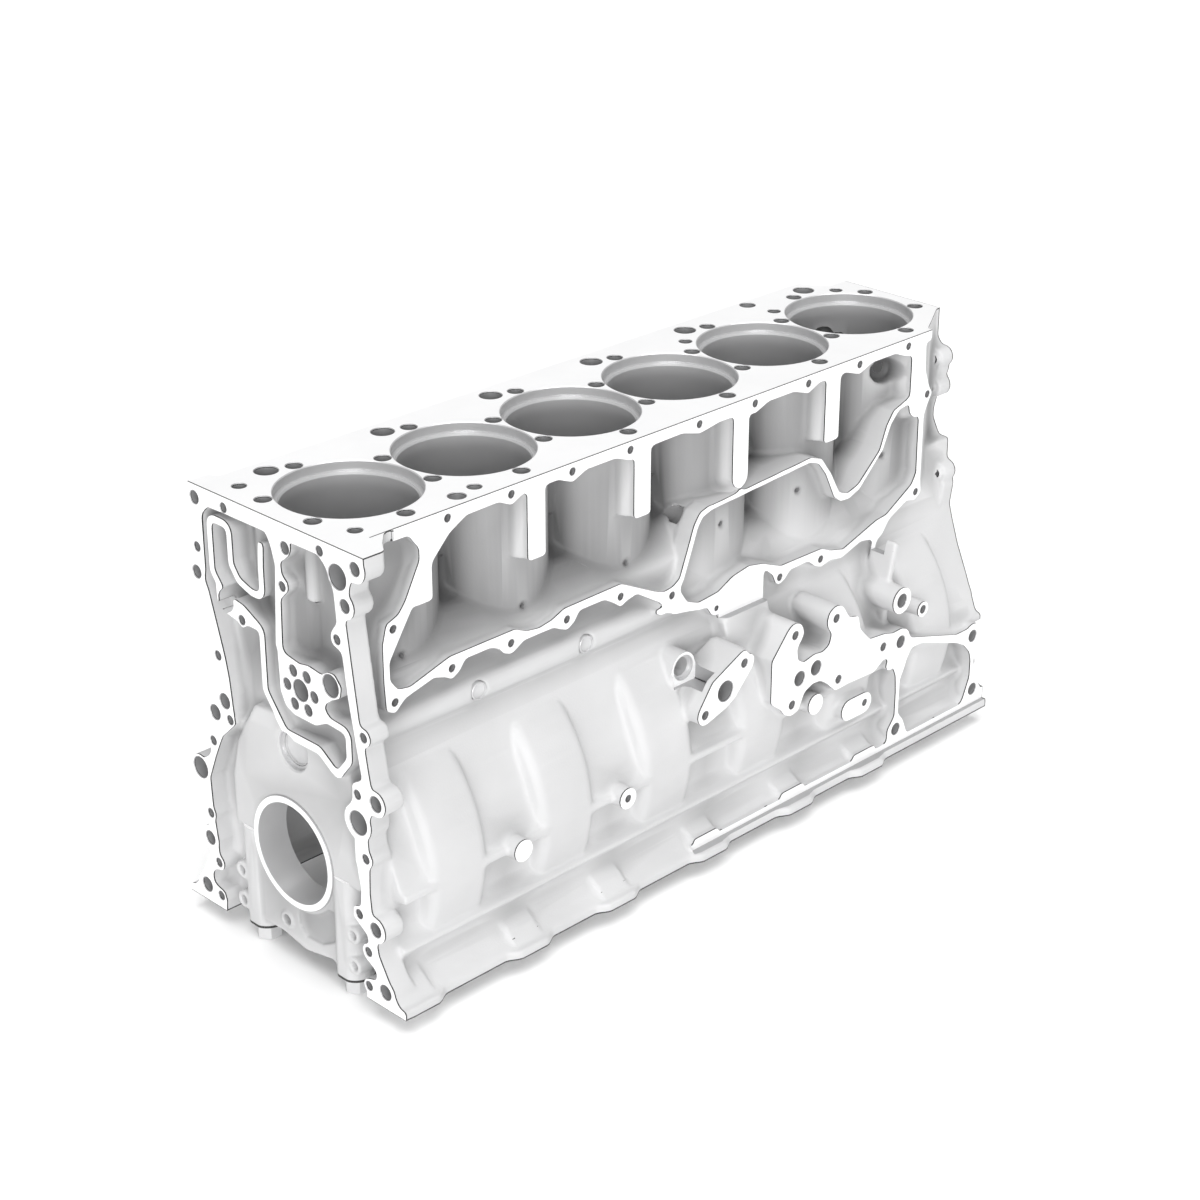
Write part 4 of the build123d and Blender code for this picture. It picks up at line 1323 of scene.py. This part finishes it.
    def bores(self, low: np.ndarray, high: np.ndarray) -> list:
        """Cylinder bores, the crankshaft's line bore and the seats of plugs, as in IronCasting."""
        half = self.saddle_width / 2
        saddles = []
        for k in range(7):
            web = self.first + self.pitch * (k - 0.5)
            saddles.append((max(web - half, 9.0), min(web + half, high[0]), self.main_bore + self.clearance))
        line = TurnedBore(Axis.X, (0, 0, 0), ((self.main_bore, high[0] + 20), (self.main_bore, -20)),
                          tuple(saddles))
        collar = (self.window_top, high[2], self.liner[0][0] + self.clearance)
        jacket = (self.cylinder_foot, self.window_top, self.liner[-4][0] - 0.5)
        cylinders = [TurnedBore(Axis.Z, (self.first + self.pitch * k, 0, 0), self.liner, (collar, jacket))
                     for k in range(6)]
        seats = [TurnedBore(Axis.X, (0, *self.front_plug), self.front_seat, (), 96)]
        for plug in ("side_core_plug_1", "side_core_plug_2"):
            near, far = (np.array(v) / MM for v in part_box(plug))
            radius = (far - near)[0] / 2 + 0.5
            mouth = radius + 0.8
            steps = ((radius, far[1]), (radius, near[1]), (mouth, near[1] - 1), (mouth, -135.0))
            middle = ((near + far)[0] / 2, 0, (near + far)[2] / 2)
            seats.append(TurnedBore(Axis.Y, middle, steps, (), 64))
        x, z = self.ring_boss
        seats.append(TurnedBore(Axis.Y, (x, 0, z), self.ring_seat, (), 64))
        return [line, *cylinders, *seats]


@dataclass
class BearingCap(IronCasting):
    """A main bearing cap."""

    slot: str = "cap_iron"
    voxel: float = 1.4
    faces: int = 16000
    stock: float = 4.0
    edge_blend: float = 1.5
    corner_blend: float = 4.0

    def planes(self, low: np.ndarray, high: np.ndarray) -> list:
        """Joint face, bolt seats and the two ends, as in IronCasting."""
        whole = (tuple(low - 40), tuple(high + 40))
        planes = [
            MilledPlane(Axis.Z, 1, high[2], (whole,)), MilledPlane(Axis.Z, -1, low[2], (whole,)),
            MilledPlane(Axis.X, 1, high[0], (whole,)),
        ]
        return planes if self.ring else [*planes, MilledPlane(Axis.X, -1, low[0], (whole,))]

    def bores(self, low: np.ndarray, high: np.ndarray) -> list:
        """The crankshaft's line bore, as in IronCasting."""
        return [TurnedBore(Axis.X, (0, 0, 0), ((self.main_bore, high[0] + 20), (self.main_bore, low[0] - 20)),
                           ((low[0], high[0], self.main_bore + self.clearance),))]


@dataclass(frozen=True)
class SteelFinish:
    """Plain steel of bolts and plugs.

    Attributes:
        colour: Its colour.
        dull: The colour of its faint clouds.
        roughness: Its roughness.
        metal: How metallic it looks.
    """

    colour: tuple = (0.72, 0.72, 0.725)
    dull: tuple = (0.58, 0.58, 0.585)
    roughness: float = 0.34
    metal: float = 0.4

    def material(self, name: str, effects: Effects) -> bpy.types.Material:
        """Makes the material.

        Args:
            name: Its name.
            effects: The shared effects.

        Returns:
            The material.
        """
        material, tree, shader, place = shell(name, self.roughness, self.metal)
        grain = put(tree, "Group", {"node_tree": effects.sand_grain},
                    {"Place": place, "Grain": 900.0, "Patches": 60.0})
        colour = mixed(tree, grain.outputs["Patch"], self.dull, self.colour)
        tree.links.new(colour, shader.inputs["Base Color"])
        bump = put(tree, "Bump", {},
                   {"Height": grain.outputs["Height"], "Strength": 0.08, "Distance": 0.0001})
        tree.links.new(bump.outputs["Normal"], shader.inputs["Normal"])
        return material


@dataclass
class CapBolt:
    """A flanged hexagon bolt of a bearing cap, in mm.

    Attributes:
        flange_radius: Radius of the flange under the head.
        flange_height: Its height.
        flats: Width of the head across its flats.
        head_height: Height of the head over the flange.
        shank_radius: Radius of the shank.
        shank_length: Length of the shank that is built.
    """

    flange_radius: float = 19.0
    flange_height: float = 4.0
    flats: float = 27.0
    head_height: float = 16.5
    shank_radius: float = 8.0
    shank_length: float = 60.0

    def build(self, node: str, metal: bpy.types.Material) -> None:
        """Makes one bolt where its CAD node stands.

        Args:
            node: Name of its CAD node.
            metal: Its material.
        """
        low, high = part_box(node)
        x, y = (low.x + high.x) / 2 / MM, (low.y + high.y) / 2 / MM
        place = (x, y, low.z / MM + self.flange_height + self.head_height)
        radius = min(self.flange_radius, (high.x - low.x) / 2 / MM)
        shank = self.shank_radius - 0.02
        points, faces = lathe([(shank, self.shank_length), (shank, 0), (radius - 0.6, 0), (radius, -0.6),
                               (radius, -1.6), (self.flats * 0.52, -self.flange_height),
                               (self.flats * 0.5, -self.flange_height - 2)], 64)
        obj = mesh_object(f"{node}_visible", points + place, faces)
        corner = self.flats / math.sqrt(3)
        top, bottom = -self.flange_height + 1.0, -self.flange_height - self.head_height
        points, faces = lathe([(corner, top), (corner, bottom + 1.6), (self.flats / 2, bottom)], 48)
        hexagon = mesh_object("hexagon", points + place, faces)
        prism = [(corner * math.cos(math.pi / 3 * k), corner * math.sin(math.pi / 3 * k)) for k in range(6)]
        points = np.array([(px, py, z) for z in (top + 3, bottom - 3) for px, py in prism], float)
        faces = [(k, k + 6, (k + 1) % 6 + 6, (k + 1) % 6) for k in range(6)]
        faces += [tuple(range(6)), tuple(range(11, 5, -1))]
        combine(hexagon, (points + place, faces), "hexagon", "INTERSECT")
        merged = bmesh.new()
        merged.from_mesh(obj.data)
        merged.from_mesh(hexagon.data)
        merged.to_mesh(obj.data)
        merged.free()
        bpy.data.objects.remove(hexagon)
        obj.data.polygons.foreach_set("use_smooth", [True] * len(obj.data.polygons))
        obj.data.set_sharp_from_angle(angle=math.radians(25))
        obj.data.materials.append(metal)
        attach(obj, "root")
        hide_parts(node)


@dataclass
class CorePlug:
    """A pressed steel cup in a round seat, open side out.

    Attributes:
        wall: Thickness of the cup, in mm.
        dish: Depth of the cup, in mm.
    """

    wall: float = 1.6
    dish: float = 2.5

    def build(self, node: str, axis: Axis, sign: int, metal: bpy.types.Material) -> None:
        """Makes one plug where its CAD node stands.

        Args:
            node: Name of its CAD node.
            axis: Direction of its axis.
            sign: +1 if its open side looks along the axis, -1 if it looks back.
            metal: Its material.
        """
        low, high = (np.array(v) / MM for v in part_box(node))
        along = axis.value
        radius = (high - low)[(along + 1) % 3] / 2
        depth = (high - low)[along]
        profile = [(radius - 0.05, -depth), (radius - 0.05, -0.9), (radius - 0.5, -0.2), (radius - 0.9, 0),
                   (radius - self.wall, -0.3), (radius - self.wall - 0.3, -self.dish + 0.6),
                   (radius - self.wall - 1.2, -self.dish), (0.3, -self.dish)]
        points, faces = lathe(profile[::-1], 64)
        if sign < 0:
            points = points * (1, 1, -1)
        else:
            faces = [tuple(reversed(f)) for f in faces]
        points, faces = turned(points, faces, axis)
        place = (low + high) / 2
        place[along] = low[along] if sign < 0 else high[along]
        obj = mesh_object(f"{node}_visible", points + place, faces)
        obj.data.polygons.foreach_set("use_smooth", [True] * len(obj.data.polygons))
        obj.data.set_sharp_from_angle(angle=math.radians(35))
        obj.data.materials.append(metal)
        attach(obj, "root")
        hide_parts(node)


@dataclass
class Studio:
    """Pale floor, soft light and the camera of the picture.

    Attributes:
        floor_reach: Half the width of the floor, in mm.
        paper: How pale the floor is.
        sky: Strength of the light from all round.
        lamps: (name, direction from the block, strength in W/m2, spread in degrees) of each lamp.
        lens: Focal length of the camera, in mm, on a sensor 36 mm wide.
        eye: Place of the camera, in m.
        tilt: How far the camera leans up from looking straight down, in degrees.
        turn: How far it is turned about the upright, in degrees.
    """

    floor_reach: float = 9000
    paper: float = 0.93
    sky: float = 0.36
    lamps: tuple = (("front_light", (-1.0, -1.05, 0.08), 3.7, 50.0),
                    ("top_light", (-0.1, -0.15, 1.0), 2.6, 60.0))
    lens: float = 75.38
    eye: tuple = (-1.4747, -1.9691, 1.4521)
    tilt: float = 65
    turn: float = -45

    def build(self) -> None:
        """Makes the floor, the lamps and the camera."""
        r = self.floor_reach
        corners = np.array([(-r, -r, 0), (r, -r, 0), (r, r, 0), (-r, r, 0)], float)
        floor = mesh_object("floor", corners, [(0, 1, 2, 3)])
        floor.location.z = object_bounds()[0].z
        paint = bpy.data.materials.new("floor")
        paint.use_nodes = True
        shader = paint.node_tree.nodes["Principled BSDF"]
        shader.inputs["Base Color"].default_value = (self.paper, self.paper, self.paper, 1)
        shader.inputs["Roughness"].default_value = 0.9
        floor.data.materials.append(paint)
        floor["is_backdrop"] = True
        scene = bpy.context.scene
        world = bpy.data.worlds.new("studio")
        scene.world = world
        world.use_nodes = True
        backdrop = world.node_tree.nodes["Background"]
        backdrop.inputs["Color"].default_value = (1, 1, 1, 1)
        backdrop.inputs["Strength"].default_value = self.sky
        for name, towards, strength, spread in self.lamps:
            self.lamp(name, towards, strength, spread)
        camera_data = bpy.data.cameras.new("camera")
        camera_data.lens = self.lens
        camera_data.sensor_width = 36.0
        camera = bpy.data.objects.new("camera", camera_data)
        camera.location = self.eye
        camera.rotation_euler = (math.radians(self.tilt), 0, math.radians(self.turn))
        scene.collection.objects.link(camera)
        scene.camera = camera
        scene.view_settings.view_transform = "Standard"

    def lamp(self, name: str, towards: tuple, strength: float, spread: float) -> None:
        """A broad soft light.

        Args:
            name: Its name.
            towards: Direction from the block to the light.
            strength: Its strength, in W/m2.
            spread: Angle that it fills, in degrees.
        """
        data = bpy.data.lights.new(name, "SUN")
        data.energy = strength
        data.angle = math.radians(spread)
        lamp = bpy.data.objects.new(name, data)
        lamp.rotation_euler = Vector(towards).to_track_quat("Z", "Y").to_euler()
        bpy.context.scene.collection.objects.link(lamp)


def main() -> None:
    """Builds the whole picture."""
    logging.basicConfig(level=logging.INFO, format="%(relativeCreated)d %(message)s")
    low, high = (np.array(v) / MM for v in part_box("cylinder_block"))
    # Milled faces along whose edges the painted shade rim runs.
    cut_planes = ((Axis.X, low[0]), (Axis.X, high[0]), (Axis.Z, low[2]), (Axis.Z, high[2]),
                  (Axis.Y, CylinderBlock.cover_face, 40, 140), (Axis.Y, CylinderBlock.pad_face, 170, -110))
    effects = Effects(cut_planes)
    iron = IronFinish().materials("iron", effects)
    CylinderBlock(iron, "cylinder_block", "block_body", ring="upper").build()
    for k in range(1, 8):
        lip = "lower" if k == 1 else None
        BearingCap(iron, f"main_bearing_cap_{k}", f"bearing_cap_{k}", ring=lip).build()
    steel = SteelFinish().material("bolt_steel", effects)
    for k in range(1, 8):
        for side in ("near", "far"):
            CapBolt().build(f"cap_bolt_{k}_{side}", steel)
            log.info("bolt %d %s built", k, side)
    dimmer = SteelFinish(colour=(0.62, 0.62, 0.625), dull=(0.52, 0.52, 0.525))
    pressed = dimmer.material("plug_steel", effects)
    for node, axis, sign in (("side_core_plug_1", Axis.Y, -1), ("side_core_plug_2", Axis.Y, -1),
                             ("front_core_plug", Axis.X, -1), ("far_core_plug_1", Axis.Y, 1),
                             ("far_core_plug_2", Axis.Y, 1), ("far_core_plug_3", Axis.Y, 1)):
        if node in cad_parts:
            CorePlug().build(node, axis, sign, pressed)
            log.info("%s built", node)
    Studio().build()


if __name__ == "__main__":
    main()
